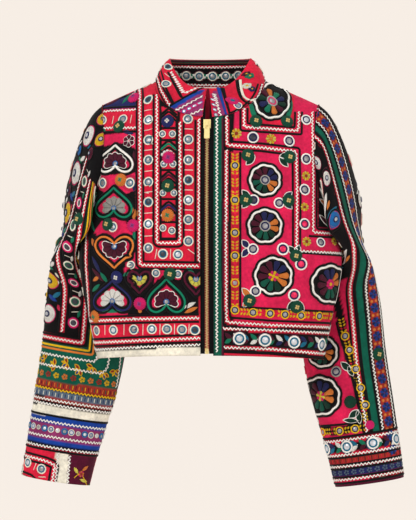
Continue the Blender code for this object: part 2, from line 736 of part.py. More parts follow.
def front_place(face, x, z):
    """The point of a body panel's outer face at (x, z), and the way out of the cloth there."""
    start = FRONT_EDGE if face == FRONT else 0.0

    def point(px, pz):
        share = share_of(face, max(abs(px), start + 1e-5), pz, start)
        found = body_point(face, share, pz, start)
        found[0] *= -1.0 if px < 0 else 1.0
        return found

    step = SLOPE_STEP
    here = point(x, z)
    out = np.cross(point(x + step, z) - point(x - step, z), point(x, z + step) - point(x, z - step))
    out /= np.linalg.norm(out)
    if out[1] * face < 0:
        out = -out
    return here, out


def sleeve_place(rings, degrees, down):
    """The point of the left sleeve's outer face that far round and down, and the way out."""
    count = len(rings[0])

    def point(angle, share):
        at = share * (len(rings) - 1)
        low = min(int(at), len(rings) - 2)
        col = angle % 360 / 360 * count
        k = int(col) % count
        f, g = at - low, col - int(col)
        one = rings[low][k] * (1 - g) + rings[low][(k + 1) % count] * g
        two = rings[low + 1][k] * (1 - g) + rings[low + 1][(k + 1) % count] * g
        return one * (1 - f) + two * f

    here = point(degrees, down)
    beside, below = point(degrees + SLOPE_DEGREES, down), point(degrees, down + SLOPE_SHARE)
    out = np.cross(beside - here, below - here)
    out /= np.linalg.norm(out)
    if np.dot(out, here - rings[int(down * (len(rings) - 1))].mean(axis=0)) < 0:
        out = -out
    return here, out


def button_mesh(look):
    """Half a button's outline, from the top of its dome out and down to the middle of its base."""
    turns = np.linspace(math.pi / 2, 0, 4)
    outline = [(BUTTON_RADIUS * math.cos(a) ** 0.6, 0.0, BUTTON_HEIGHT * math.sin(a)) for a in turns]
    outline[0] = (0.0, 0.0, BUTTON_HEIGHT)
    outline.append((0.0, 0.0, 0.0))
    mesh = bpy.data.meshes.new(f"button_{look}")
    mesh.from_pydata(outline, [(k, k + 1) for k in range(len(outline) - 1)], [])
    mesh.materials.append(material(look, 0.85))
    return mesh


def surface_tree(columns, closed=False):
    mesh = grid_mesh("surface", columns, closed)
    points = [vertex.co.copy() for vertex in mesh.vertices]
    return BVHTree.FromPolygons(points, [tuple(face.vertices) for face in mesh.polygons])


def cloth_below(tree, centre, out, across, rise):
    """Height of the highest cloth below a button, along the way out at its centre."""
    highest = -BUTTON_RADIUS
    spots = [(0.0, 0.0)]
    for reach in (0.55, 1.0):
        for a in np.linspace(0, 2 * math.pi, 13)[:-1]:
            spots.append((reach * BUTTON_RADIUS * math.cos(a), reach * BUTTON_RADIUS * math.sin(a)))
    for c, d in spots:
        above = centre + across * c + rise * d + out * BUTTON_RADIUS
        hit = tree.ray_cast(Vector(above), Vector(-out), 3 * BUTTON_RADIUS)[0]
        if hit is not None:
            highest = max(highest, float(np.dot(np.array(hit) - centre, out)))
    return highest


def make_button(name, centre, out, tree, side, mesh, where):
    """A thread-covered dome lying on the cloth at +X, or mirrored to the other side."""
    up = np.array([0.0, 0.0, 1.0])
    across = np.cross(up, out)
    across /= np.linalg.norm(across)
    rise = np.cross(out, across)
    place = centre + out * (BUTTON_LIFT + cloth_below(tree, centre, out, across, rise))
    flip = np.array([side, 1, 1])
    turned = np.stack([across * flip * side, rise * flip, out * flip], axis=1)
    thing = bpy.data.objects.new(name, mesh)
    where.objects.link(thing)
    thing.location = place * flip
    thing.rotation_euler = Matrix(turned.tolist()).to_euler()
    turn = thing.modifiers.new("turn", "SCREW")
    turn.steps = turn.render_steps = BUTTON_SIDES
    turn.use_merge_vertices = True
    turn.merge_threshold = MERGE


def make_buttons(front, back, rings, where):
    looks = ("pink", "green", "orange", "green", "pink", "orange", "navy")
    meshes = {look: button_mesh(look) for look in set(looks)}
    back_tree = surface_tree(back[::-1] + mirrored(back)[1:])
    front_tree = surface_tree(front)
    columns = [np.array([ring[k] for ring in rings]) for k in range(len(rings[0]))]
    sleeve_tree = surface_tree(columns, closed=True)
    bodies = (
        ("button_front_right", FRONT, BUTTONS_FRONT_RIGHT, front_tree),
        ("button_front_left", FRONT, BUTTONS_FRONT_LEFT, front_tree),
        ("button_back", BACK, BUTTONS_BACK, back_tree),
    )
    for name, face, places, tree in bodies:
        for n, (x, z) in enumerate(places):
            centre, out = front_place(face, abs(x), z)
            look = looks[n % len(looks)] if name.endswith("right") else "green"
            side = -1 if x < 0 else 1
            make_button(f"{name}_{n + 1:02d}", centre, out, tree, side, meshes[look], where)
    sleeves = (
        ("button_sleeve_right", -1, BUTTONS_SLEEVE_RIGHT),
        ("button_sleeve_left", 1, BUTTONS_SLEEVE_LEFT),
    )
    for name, side, places in sleeves:
        for n, (degrees, down) in enumerate(places):
            centre, out = sleeve_place(rings, degrees, down)
            mesh = meshes["green"]
            make_button(f"{name}_{n + 1:02d}", centre, out, sleeve_tree, side, mesh, where)


def bust_girth():
    """Length round the body's ring just below the underarm."""
    total = 0.0
    for face in (FRONT, BACK):
        xs, ys = section(face, UNDERARM_Z - 0.001, 0.0)
        total += 2 * along(xs, ys)[-1]
    return total


def main():
    clear_scene()
    jacket = collection("cropped_jacket")
    cutters = collection("cutters")
    front, back = make_body(jacket)
    rings = make_sleeves(front, back, jacket)
    make_collar(jacket)
    make_zip_strips(jacket)
    make_slider(jacket, cutters)
    make_pull(jacket, cutters)
    make_zip_box(jacket)
    make_buttons(front, back, rings, jacket)
    print(f"bust {bust_girth() * 1000:.0f} mm round")


main()
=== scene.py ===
import math

import bpy
import numpy as np
from mathutils import Matrix, Vector
from mathutils.kdtree import KDTree


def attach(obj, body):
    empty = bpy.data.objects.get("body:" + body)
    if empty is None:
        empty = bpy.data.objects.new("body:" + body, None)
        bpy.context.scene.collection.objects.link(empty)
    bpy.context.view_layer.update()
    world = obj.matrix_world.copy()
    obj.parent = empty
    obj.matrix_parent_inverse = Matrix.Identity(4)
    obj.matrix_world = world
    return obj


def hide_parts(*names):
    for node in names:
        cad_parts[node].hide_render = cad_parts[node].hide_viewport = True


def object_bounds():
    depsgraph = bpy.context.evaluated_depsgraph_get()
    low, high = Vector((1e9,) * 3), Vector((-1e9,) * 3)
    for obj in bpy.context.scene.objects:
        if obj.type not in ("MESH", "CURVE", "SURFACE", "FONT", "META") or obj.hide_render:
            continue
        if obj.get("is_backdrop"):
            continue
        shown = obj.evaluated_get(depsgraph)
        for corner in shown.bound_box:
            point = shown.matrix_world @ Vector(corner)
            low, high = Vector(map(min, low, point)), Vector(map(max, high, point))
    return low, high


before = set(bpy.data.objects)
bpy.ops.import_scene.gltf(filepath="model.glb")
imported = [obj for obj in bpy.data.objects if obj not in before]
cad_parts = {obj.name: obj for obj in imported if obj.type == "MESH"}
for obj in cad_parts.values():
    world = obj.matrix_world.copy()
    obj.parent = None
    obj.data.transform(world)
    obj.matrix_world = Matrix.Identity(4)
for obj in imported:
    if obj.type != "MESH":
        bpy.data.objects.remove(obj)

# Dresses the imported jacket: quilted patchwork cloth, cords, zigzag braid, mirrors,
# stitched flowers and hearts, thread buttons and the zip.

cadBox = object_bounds()

# The photograph's frame and where its camera stands
picture = {
    "width": 416,
    "height": 520,
    "metresPerPixel": 0.001716,
    "distance": 5.0,
    "azimuthDeg": 4.0,
    "elevationDeg": 1.0,
    "aim": (-0.0009, -0.05, -0.3072),
    "sensor": 36.0,
}


def cameraFrame():
    turn, lift = math.radians(picture["azimuthDeg"]), math.radians(picture["elevationDeg"])
    right = np.array([math.cos(turn), math.sin(turn), 0.0])
    ahead = np.array([
        -math.sin(turn) * math.cos(lift), math.cos(turn) * math.cos(lift), -math.sin(lift)
    ])
    up = np.cross(right, ahead)
    place = np.array(picture["aim"]) - ahead * picture["distance"]
    return place, right, up, ahead


cameraPlace, cameraRight, cameraUp, cameraAhead = cameraFrame()


def onPhoto(points):
    # Pixel of the photograph where each point is seen
    away = points - cameraPlace
    depth = away @ cameraAhead
    scale = picture["distance"] / picture["metresPerPixel"] / depth
    return np.stack([
        picture["width"] / 2 + (away @ cameraRight) * scale,
        picture["height"] / 2 - (away @ cameraUp) * scale,
    ], axis=-1)


def linear(red, green, blue):
    # A colour as seen on screen, 0 to 255, as the shader wants it
    parts = np.array([red, green, blue]) / 255
    return tuple(np.where(parts < 0.04045, parts / 12.92, ((parts + 0.055) / 1.055) ** 2.4))


threads = {
    "red": linear(222, 30, 62),
    "pink": linear(226, 32, 84),
    "hotPink": linear(238, 30, 116),
    "rust": linear(168, 52, 40),
    "maroon": linear(84, 12, 42),
    "black": linear(10, 8, 11),
    "navy": linear(34, 38, 92),
    "royal": linear(22, 66, 160),
    "blue": linear(28, 112, 186),
    "teal": linear(22, 118, 152),
    "emerald": linear(12, 132, 98),
    "green": linear(8, 94, 74),
    "bottle": linear(6, 56, 40),
    "leaf": linear(60, 120, 50),
    "yellow": linear(244, 196, 24),
    "lemon": linear(236, 226, 92),
    "orange": linear(236, 134, 56),
    "cream": linear(246, 240, 222),
    "white": linear(255, 252, 245),
    "grey": linear(168, 166, 160),
    "purple": linear(150, 54, 108),
    "slate": linear(96, 116, 138),
    "glass": linear(158, 156, 158),
    "pinkGlass": linear(236, 36, 92),
    "darkGlass": linear(58, 60, 70),
    "paleGlass": linear(214, 216, 222),
}


# Cloth and seams
cloth = 0.0025  # quilted cotton with its embroidery
seamGap = 0.0003  # between pieces that meet or lie on each other
seamRow = 0.002  # the last row of faces beside a seam, narrow so that seam walls stand square
seamSide = 0.7 * seamGap  # how far each piece stands back from a side or shoulder seam


# Body of the jacket
frontFace, backFace = -1, 1
lowRows = 8  # of faces, from the hem to the underarm
highRows = 12  # from the underarm to the top, before the narrow row at the seam
neckHalf = 0.095  # from the middle to the shoulder seam's neck end
neckDropFront = 0.0635
neckDropBack = 0.008
shoulderHalf = 0.186  # from the middle to the shoulder seam's sleeve end
shoulderSlope = 0.47
shoulderBend = 0.05  # how softly the shoulder line levels off towards the neck
roundOverFront = 0.100  # height over which the chest curves up into the shoulder seam
roundOverBack = 0.085
ringPoints = 65  # along half a ring, when it is measured
lowPoints, highPoints = 40, 90  # up a column, below and above the underarm
neckPoints = 40  # along each of the neckline's quarters
foldRound = 0.09  # depth that the body is taken to have where its folds swell
foldFade = 14  # how fast the folds fade towards the sides
foldTop = 0.03  # height over which they fade below the shoulder line
underarmZ = -0.222
hemZMiddle = -0.4695
hemDipSide = 0.0105
frontEdge = 0.011  # from the middle of the zip to the edge of each front

# Heights down the body, and the ring of cloth at each
torsoColumns = ("z", "halfWidth", "sideY", "frontY", "backY", "frontSquare", "backSquare")
torsoSections = (
    (0.030, 0.200, 0.000, -0.064, 0.060, 2.00, 2.00),
    (-0.040, 0.206, 0.000, -0.079, 0.070, 2.00, 2.00),
    (-0.130, 0.208, -0.002, -0.093, 0.080, 2.10, 2.00),
    (-0.185, 0.205, -0.006, -0.098, 0.079, 2.25, 1.95),
    (-0.222, 0.205, -0.008, -0.100, 0.075, 2.15, 1.85),
    (-0.260, 0.215, -0.008, -0.100, 0.069, 2.20, 1.76),
    (-0.300, 0.228, -0.010, -0.099, 0.065, 2.50, 1.72),
    (-0.350, 0.222, -0.012, -0.097, 0.064, 2.40, 1.74),
    (-0.410, 0.209, -0.010, -0.095, 0.065, 2.30, 1.80),
    (-0.485, 0.195, -0.008, -0.092, 0.066, 2.30, 1.90),
)
# How far out each armhole's edge lies, from the underarm to the shoulder
armholeColumns = ("z", "edgeX")
armholeEdge = (
    (-0.222, 0.2050),
    (-0.205, 0.1960),
    (-0.185, 0.1895),
    (-0.150, 0.1830),
    (-0.110, 0.1805),
    (-0.075, 0.1820),
    (-0.040, 0.1860),
)
# Soft hanging folds of the body: where they run, how wide and how high they are
bodyFoldColumns = ("x", "z", "lean", "halfWidth", "halfLength", "height")
frontFolds = (
    (0.150, -0.300, 0.35, 0.022, 0.120, 0.0035),
    (0.080, -0.430, -0.15, 0.030, 0.080, 0.0022),
    (0.168, -0.170, 0.50, 0.014, 0.060, 0.0025),
    (0.120, -0.385, 0.25, 0.018, 0.070, -0.0018),
)
backFolds = (
    (0.120, -0.260, 0.30, 0.026, 0.130, 0.0035),
    (0.045, -0.400, -0.10, 0.028, 0.090, 0.0025),
    (0.150, -0.160, 0.45, 0.016, 0.070, 0.0025),
)

# Stand collar
collarTopHalf = 0.0705
collarTopFrontY = -0.062
collarTopBackY = 0.048
collarTopFrontZ = -0.013
collarTopBackZ = 0.041
collarBulge = 0.0045
collarOut = {"back": 0.9, "up": 0.15}  # the way in which it bulges
collarGapBottom = 0.0085  # from the middle to each end of the collar
collarGapTop = 0.0016
collarLift = 0.0008  # above the neckline's edge
collarWall = 0.0027  # from its outer face to its lining's

# Sleeves: rings from the biceps to the wrist, each an oval on a leaning plane
sleeveColumns = ("x", "y", "z", "halfLong", "halfShort", "turnDeg", "leanDeg")
sleeveSections = (
    (0.2310, 0.006, -0.250, 0.078, 0.0240, 105, 20),
    (0.2400, 0.036, -0.305, 0.078, 0.0250, 75, 16),
    (0.2215, 0.062, -0.355, 0.076, 0.0360, 38, 14),
    (0.222, 0.070, -0.412, 0.076, 0.041, 19, 12),
    (0.230, 0.068, -0.480, 0.0745, 0.041, 12, 11),
    (0.248, 0.060, -0.568, 0.0695, 0.041, 8, 10),
    (0.2635, 0.050, -0.640, 0.0645, 0.040, 5, 9),
    (0.275, 0.042, -0.695, 0.0605, 0.039, 0, 8.5),
)
sleeveCapRings = 6
sleeveTubeRings = 13
sleeveSettle = 4  # rounds of smoothing where the sleeve lies against the body
sleeveStart = (0.90, 0.0, -0.43)  # the way the sleeve head leaves the armhole
sleeveClearance = 0.0055  # from the body where the sleeve lies against it
sleeveFit = {"under": 0.001, "fade": 0.02, "least": 0.25, "share": 0.6}
# How the sleeve's head swings from the armhole down to its first ring
sleeveHead = {
    "ahead": 0.006, "spread": 0.28, "topFrom": 0.7, "topShare": 0.2,
    "bend": 0.55, "shortSpan": 0.1, "shortBend": 0.8, "arrive": 1.15,
}
sleeveEase = {"round": 0.3, "down": 0.2}  # towards its neighbours, in each round of smoothing
besideBody = {"depth": 0.07, "top": -0.20, "fade": 0.03, "reach": 0.03}
sleeveLong = 0.62
creaseEnd = 6  # how fast the creases fade at the cuff
# Creases of the sleeve: place around it, place down it, and size
sleeveFoldColumns = ("aroundDeg", "down", "slant", "halfWidth", "halfReachDeg", "height")
sleeveFolds = (
    (150, 0.36, 0.10, 0.018, 70, 0.0040),
    (130, 0.47, 0.08, 0.016, 60, 0.0035),
    (200, 0.56, -0.08, 0.018, 70, 0.0035),
    (60, 0.66, 0.06, 0.016, 55, 0.0025),
    (180, 0.76, 0.05, 0.018, 65, 0.0030),
    (290, 0.52, -0.06, 0.018, 60, 0.0030),
)


def curveThrough(places, values):
    # A smooth line through a table's values, level where the values turn back
    order = np.argsort(places)
    xs = np.asarray(places, float)[order]
    ys = np.asarray(values, float)[order]
    rise = np.diff(ys) / np.diff(xs)
    slopes = np.zeros(len(xs))
    slopes[0], slopes[-1] = rise[0], rise[-1]
    for i in range(1, len(xs) - 1):
        slopes[i] = 0.0 if rise[i - 1] * rise[i] <= 0 else 2 / (1 / rise[i - 1] + 1 / rise[i])

    def value(x):
        x = np.clip(x, xs[0], xs[-1])
        i = np.clip(np.searchsorted(xs, x) - 1, 0, len(xs) - 2)
        width = xs[i + 1] - xs[i]
        t = (x - xs[i]) / width
        return (
            ys[i] * (1 + 2 * t) * (1 - t) ** 2
            + slopes[i] * width * t * (1 - t) ** 2
            + ys[i + 1] * t * t * (3 - 2 * t)
            - slopes[i + 1] * width * t * t * (1 - t)
        )

    return value


def curvesOf(rows, columns, over):
    # One smooth line for each named column of a table, over one of its columns
    places = [row[columns.index(over)] for row in rows]
    return {
        name: curveThrough(places, [row[k] for row in rows])
        for k, name in enumerate(columns)
        if name != over
    }


torsoLines = curvesOf(torsoSections, torsoColumns, "z")
armholeLine = curvesOf(armholeEdge, armholeColumns, "z")


def shoulderZ(x):
    # Height of the shoulder line at x, carried on level behind the neck
    level = math.hypot(neckHalf, shoulderBend)
    return shoulderSlope * (level - np.hypot(x, shoulderBend))


def necklineZ(face, x):
    drop = neckDropFront if face == frontFace else neckDropBack
    return -drop * np.sqrt(np.maximum(0.0, 1 - (x / neckHalf) ** 2))


def hemZ(share):
    return hemZMiddle - hemDipSide * share**2


def ringAt(face, z):
    # Half width, side line, depth and squareness of the body's ring at one height
    half, sideY = float(torsoLines["halfWidth"](z)), float(torsoLines["sideY"](z))
    side = "front" if face == frontFace else "back"
    return half, sideY, float(torsoLines[side + "Y"](z)) - sideY, float(
        torsoLines[side + "Square"](z)
    )


def section(face, z, start):
    # Points of one half of a ring, from x = start to the side seam or the armhole's edge
    half, sideY, depth, square = ringAt(face, z)
    edge = half if z <= underarmZ else min(half, float(armholeLine["edgeX"](z)))
    first, last = (math.asin((x / half) ** (square / 2)) for x in (start, edge))
    turns = np.linspace(first, last, ringPoints)
    x = half * np.sin(turns) ** (2 / square)
    y = sideY + depth * np.maximum(0.0, np.cos(turns)) ** (2 / square)
    reach = roundOverFront if face == frontFace else roundOverBack
    below = np.clip((shoulderZ(x) - z) / reach, 0.0, 1.0)
    return x, y * np.sqrt(1 - (1 - below) ** 2)


def along(x, y):
    return pathLength(np.stack([x, y], axis=1))


def shareOf(face, x, z, start):
    # How far round its ring the point at x lies, from 0 at the start to 1 at the edge
    xs, ys = section(face, z, start)
    length = along(xs, ys)
    return float(np.interp(x, xs, length) / length[-1])


def foldHeight(folds, columns, x, z):
    # Height of the soft folds at a place on the body
    total = 0.0
    for row in folds:
        fold = dict(zip(columns, row))
        down = z - fold["z"]
        across = x - fold["x"] - fold["lean"] * down
        total += fold["height"] * math.exp(
            -((across / fold["halfWidth"]) ** 2) - (down / fold["halfLength"]) ** 2
        )
    return total


def bodyPoint(face, share, z, start):
    # A point of the cloth's outer face, at +X
    xs, ys = section(face, z, start)
    length = along(xs, ys)
    at = share * length[-1]
    x, y = float(np.interp(at, length, xs)), float(np.interp(at, length, ys))
    half, sideY = float(torsoLines["halfWidth"](z)), float(torsoLines["sideY"](z))
    outward = np.array([x / half**2, (y - sideY) / foldRound**2])
    outward /= max(1e-9, float(np.hypot(*outward)))
    folds = frontFolds if face == frontFace else backFolds
    swell = foldHeight(folds, bodyFoldColumns, x, z)
    below = min(1.0, max(0.0, (shoulderZ(x) - z) / foldTop))
    swell *= min(1.0, foldFade * share * (1 - share)) * below
    return np.array([x + outward[0] * swell, y + outward[1] * swell, z])


def bodyColumn(face, topX, start, low, high):
    # Points up the cloth from the hem, with the underarm's height always at the same row
    inNeck = topX < neckHalf - 1e-6
    topZ = float(necklineZ(face, topX) if inNeck else shoulderZ(topX))
    share = shareOf(face, topX, topZ, start)
    lowZ = hemZ(share)
    heights = np.concatenate([
        np.linspace(lowZ, underarmZ, lowPoints),
        underarmZ + (topZ - underarmZ) * (1 - (1 - np.linspace(0, 1, highPoints)[1:]) ** 2),
    ])
    line = np.array([bodyPoint(face, share, z, start) for z in heights])
    length = pathLength(line)
    trim = 0.0 if inNeck else seamSide
    underarm = length[lowPoints - 1]
    below = np.linspace(0, underarm, low + 1)
    above = np.linspace(underarm, length[-1] - trim, high + 1)[1:]
    stops = np.concatenate([below, above[:-1], [above[-1] - seamRow, above[-1]]])
    return atLengths(line, length, stops)


def pathLength(line):
    steps = np.linalg.norm(np.diff(line, axis=0), axis=1)
    return np.concatenate([[0.0], np.cumsum(steps)])


def atLengths(line, length, stops):
    return np.array([[np.interp(s, length, line[:, k]) for k in range(3)] for s in stops])


def topPlaces(start, neckSteps, shoulderSteps):
    # Where the columns of a half meet its top edge
    neck = start + (neckHalf - start) * np.sin(np.linspace(0, math.pi / 2, neckSteps + 1))
    shoulder = np.linspace(neckHalf, shoulderHalf, shoulderSteps + 1)[1:]
    return list(neck) + list(shoulder)


def halfBody(face, start, neckSteps=5, shoulderSteps=6, low=lowRows, high=highRows):
    # Columns of points over one half of a body panel, at +X, with the side seam's gap
    places = topPlaces(start, neckSteps, shoulderSteps)
    columns = [bodyColumn(face, x, start, low, high) for x in places]
    edge, inner = columns[-1].copy(), columns[-2]
    side = np.array([0.0, face, 0.0])
    beside = []
    for row, point in enumerate(edge):
        if row <= low:
            columns[-1][row] = point + side * seamSide
            beside.append(columns[-1][row] + side * seamRow)
        else:
            inward = inner[row] - point
            beside.append(point + inward / np.linalg.norm(inward) * seamRow)
    columns.insert(len(columns) - 1, np.array(beside))
    return columns


def mirrored(columns):
    return [column * np.array([-1, 1, 1]) for column in columns]


def armhole(front, back):
    # The armhole's edge at +X, down the front and up the back, and the way on across it
    top = lowRows + highRows + 1
    spots = [(front[-1][top] + back[-1][top]) / 2]
    ways = [front[-1][top] - front[-2][top] + back[-1][top] - back[-2][top]]
    for half, rows in ((front, range(top - 1, lowRows, -1)), (back, range(lowRows + 1, top))):
        if half is back:
            spots.append((front[-1][lowRows] + back[-1][lowRows]) / 2)
            ways.append(np.array([0.0, 0.0, 1.0]))
        for row in rows:
            edge = half[-1][row + 1] - half[-1][row - 1]
            edge /= np.linalg.norm(edge)
            across = half[-1][row] - half[-2][row]
            spots.append(half[-1][row])
            ways.append(across - edge * np.dot(edge, across))
    return np.array(spots), np.array([way / np.linalg.norm(way) for way in ways])


def sleeveOval(row, around):
    # One ring of the sleeve's outer face
    part = dict(zip(sleeveColumns, row))
    lean, turn = math.radians(part["leanDeg"]), math.radians(part["turnDeg"])
    outward = np.array([math.cos(lean), 0, math.sin(lean)])
    forward = np.array([0, -1.0, 0])
    long = part["halfLong"] * np.cos(around - turn)
    short = part["halfShort"] * np.sin(around - turn)
    across = long * math.cos(turn) - short * math.sin(turn)
    ahead = long * math.sin(turn) + short * math.cos(turn)
    centre = np.array([part["x"], part["y"], part["z"]])
    return centre + across[:, None] * outward + ahead[:, None] * forward


def clearOfBody(point, clearance=sleeveClearance):
    # Moves a point of the sleeve out of the body's ring, where it would lie against it
    x, y, z = point
    if z > underarmZ - sleeveFit["under"]:
        return point
    face = frontFace if y < float(torsoLines["sideY"](z)) else backFace
    half, sideY, depth, square = ringAt(face, z)
    reach = ((abs(x) / half) ** square + (abs(y - sideY) / abs(depth)) ** square) ** (1 / square)
    fade = min(1.0, (underarmZ - z) / sleeveFit["fade"])
    least = sleeveFit["least"]
    needed = 1 + (least + (1 - least) * fade) * clearance / (sleeveFit["share"] * half)
    if reach >= needed:
        return point
    return np.array([x * needed / reach, sideY + (y - sideY) * needed / reach, z])


def sleeveRings(front, back):
    # Rings of the left sleeve's outer face, from the armhole to the cuff
    spots, ways = armhole(front, back)
    count = len(spots)
    around = np.linspace(0, 2 * math.pi, count + 1)[:-1]
    seam = spots + ways * seamGap
    head = seam + ways * seamRow
    middle = head.mean(axis=0)
    places = [row[sleeveColumns.index("z")] for row in sleeveSections]
    lines = curvesOf(sleeveSections, sleeveColumns, "z")

    def oval(z):
        row = [z if name == "z" else float(lines[name](z)) for name in sleeveColumns]
        return sleeveOval(row, around)

    first, second = oval(places[0]), oval(places[0] - sleeveHead["ahead"])
    start = np.array(sleeveStart) / np.linalg.norm(sleeveStart)
    rings = [seam]
    for step in range(sleeveCapRings):
        t = step / sleeveCapRings
        ring = []
        for k in range(count):
            radial = head[k] - middle
            radial /= np.linalg.norm(radial)
            spread = 1.0 if radial[2] < sleeveHead["topFrom"] else sleeveHead["topShare"]
            leave = start + sleeveHead["spread"] * radial * spread
            leave /= np.linalg.norm(leave)
            span = np.linalg.norm(first[k] - head[k])
            arrive = (second[k] - first[k]) / np.linalg.norm(second[k] - first[k])
            bend = span * sleeveHead["bend" if span > sleeveHead["shortSpan"] else "shortBend"]
            ring.append(
                head[k] * (1 + 2 * t) * (1 - t) ** 2
                + leave * bend * t * (1 - t) ** 2
                + first[k] * t * t * (3 - 2 * t)
                - arrive * bend * sleeveHead["arrive"] * t * t * (1 - t)
            )
        rings.append(np.array(ring))
    rings += [oval(z) for z in np.linspace(places[0], places[-1], sleeveTubeRings)]
    rings = [crease(ring, n / (len(rings) - 1), around) for n, ring in enumerate(rings)]
    return settle(rings)


def settle(rings):
    # Eases the sleeve off the body and softens the folds that this leaves
    rings = [ring.copy() for ring in rings]
    for _ in range(sleeveSettle):
        for n in range(2, len(rings)):
            rings[n] = np.array([clearOfBody(point) for point in rings[n]])
        softer = [ring.copy() for ring in rings]
        for n in range(2, len(rings) - 1):
            ring = rings[n]
            beside = (np.roll(ring, 1, axis=0) + np.roll(ring, -1, axis=0)) / 2
            alongIt = (rings[n - 1] + rings[n + 1]) / 2
            near = np.array([nearBody(point) for point in ring])[:, None]
            pull = sleeveEase["round"] * (beside - ring) + sleeveEase["down"] * (alongIt - ring)
            softer[n] = ring + near * pull
        rings = softer
    for n in range(2, len(rings)):
        rings[n] = np.array([clearOfBody(point) for point in rings[n]])
    return rings


def nearBody(point):
    # 1 where a point lies by the body's side, falling to 0 away from it
    half, sideY = float(torsoLines["halfWidth"](point[2])), float(torsoLines["sideY"](point[2]))
    deep = max(0.0, abs(point[1] - sideY) - besideBody["depth"])
    away = math.hypot(max(0.0, point[0] - half), deep)
    down = min(1.0, max(0.0, (besideBody["top"] - point[2]) / besideBody["fade"]))
    return down * math.exp(-((away / besideBody["reach"]) ** 2))


def crease(ring, down, around):
    # Adds the sleeve's creases to one of its rings
    middle = ring.mean(axis=0)
    made = []
    for point, angle in zip(ring, around):
        swell = 0.0
        for row in sleeveFolds:
            fold = dict(zip(sleeveFoldColumns, row))
            off = (math.degrees(angle) - fold["aroundDeg"] + 180) % 360 - 180
            drop = (down - fold["down"] - fold["slant"] * off / 90) * sleeveLong
            swell += fold["height"] * math.exp(
                -((drop / fold["halfWidth"]) ** 2) - (off / fold["halfReachDeg"]) ** 2
            )
        way = point - middle
        fade = min(1.0, creaseEnd * (1 - down))
        made.append(point + way / np.linalg.norm(way) * swell * fade)
    return np.array(made)


def neckCurve(count):
    # The neckline at +X, from the end of the collar at the zip round to the middle of the back
    points = []
    for x in np.sin(np.linspace(0, math.pi / 2, neckPoints)) * neckHalf:
        points.append(neckPoint(frontFace, x))
    for x in np.sin(np.linspace(math.pi / 2, 0, neckPoints))[1:] * neckHalf:
        points.append(neckPoint(backFace, x))
    line = np.array(points)
    length = pathLength(line)
    return atLengths(line, length, np.linspace(collarGapBottom, length[-1], count))


def neckPoint(face, x):
    z = float(necklineZ(face, x))
    xs, ys = section(face, z, 0.0)
    return np.array([x, float(np.interp(x, xs, ys)), z])


def collarTop(turn):
    # A point of the collar's top edge, at 0 in front and pi at the middle of the back
    x = collarTopHalf * math.sin(turn)
    middle = (collarTopFrontY + collarTopBackY) / 2
    half = (collarTopBackY - collarTopFrontY) / 2
    rise = math.sin(turn) ** 3 if turn < math.pi / 2 else 1.0
    z = collarTopFrontZ + (collarTopBackZ - collarTopFrontZ) * rise
    return np.array([x, middle - half * math.cos(turn), z])


def collarColumn(base, turn, rows):
    # Points up the collar, from the neckline to its top edge
    top = collarTop(turn)
    out = np.array([math.sin(turn), -math.cos(turn) * collarOut["back"], collarOut["up"]])
    rise = (top - base) / np.linalg.norm(top - base)
    foot = base + rise * collarLift
    shares = np.linspace(0, 1, rows)
    return np.array([foot + (top - foot) * t + out * collarBulge * 4 * t * (1 - t) for t in shares])


def frontMiddle(z):
    # The line of the zip: the cloth's outer face at x = 0, carried on up behind the collar
    if z <= -neckDropFront:
        _, ys = section(frontFace, z, 0.0)
        return np.array([0.0, ys[0], z])
    t = (z + neckDropFront) / (collarTopFrontZ + neckDropFront)
    foot = neckPoint(frontFace, 0.0)
    return foot + (collarTop(0.0) - foot) * t


# How a place on a panel is found: rounds and greatest step of the search, how far it may stray
# from its start, and what counts as off the cloth or out of sight
finding = {
    "rounds": 12, "stride": 1.5, "stray": 3, "past": 0.02, "miss": 0.002,
    "facing": 0.02, "sleeveFront": -0.015,
}


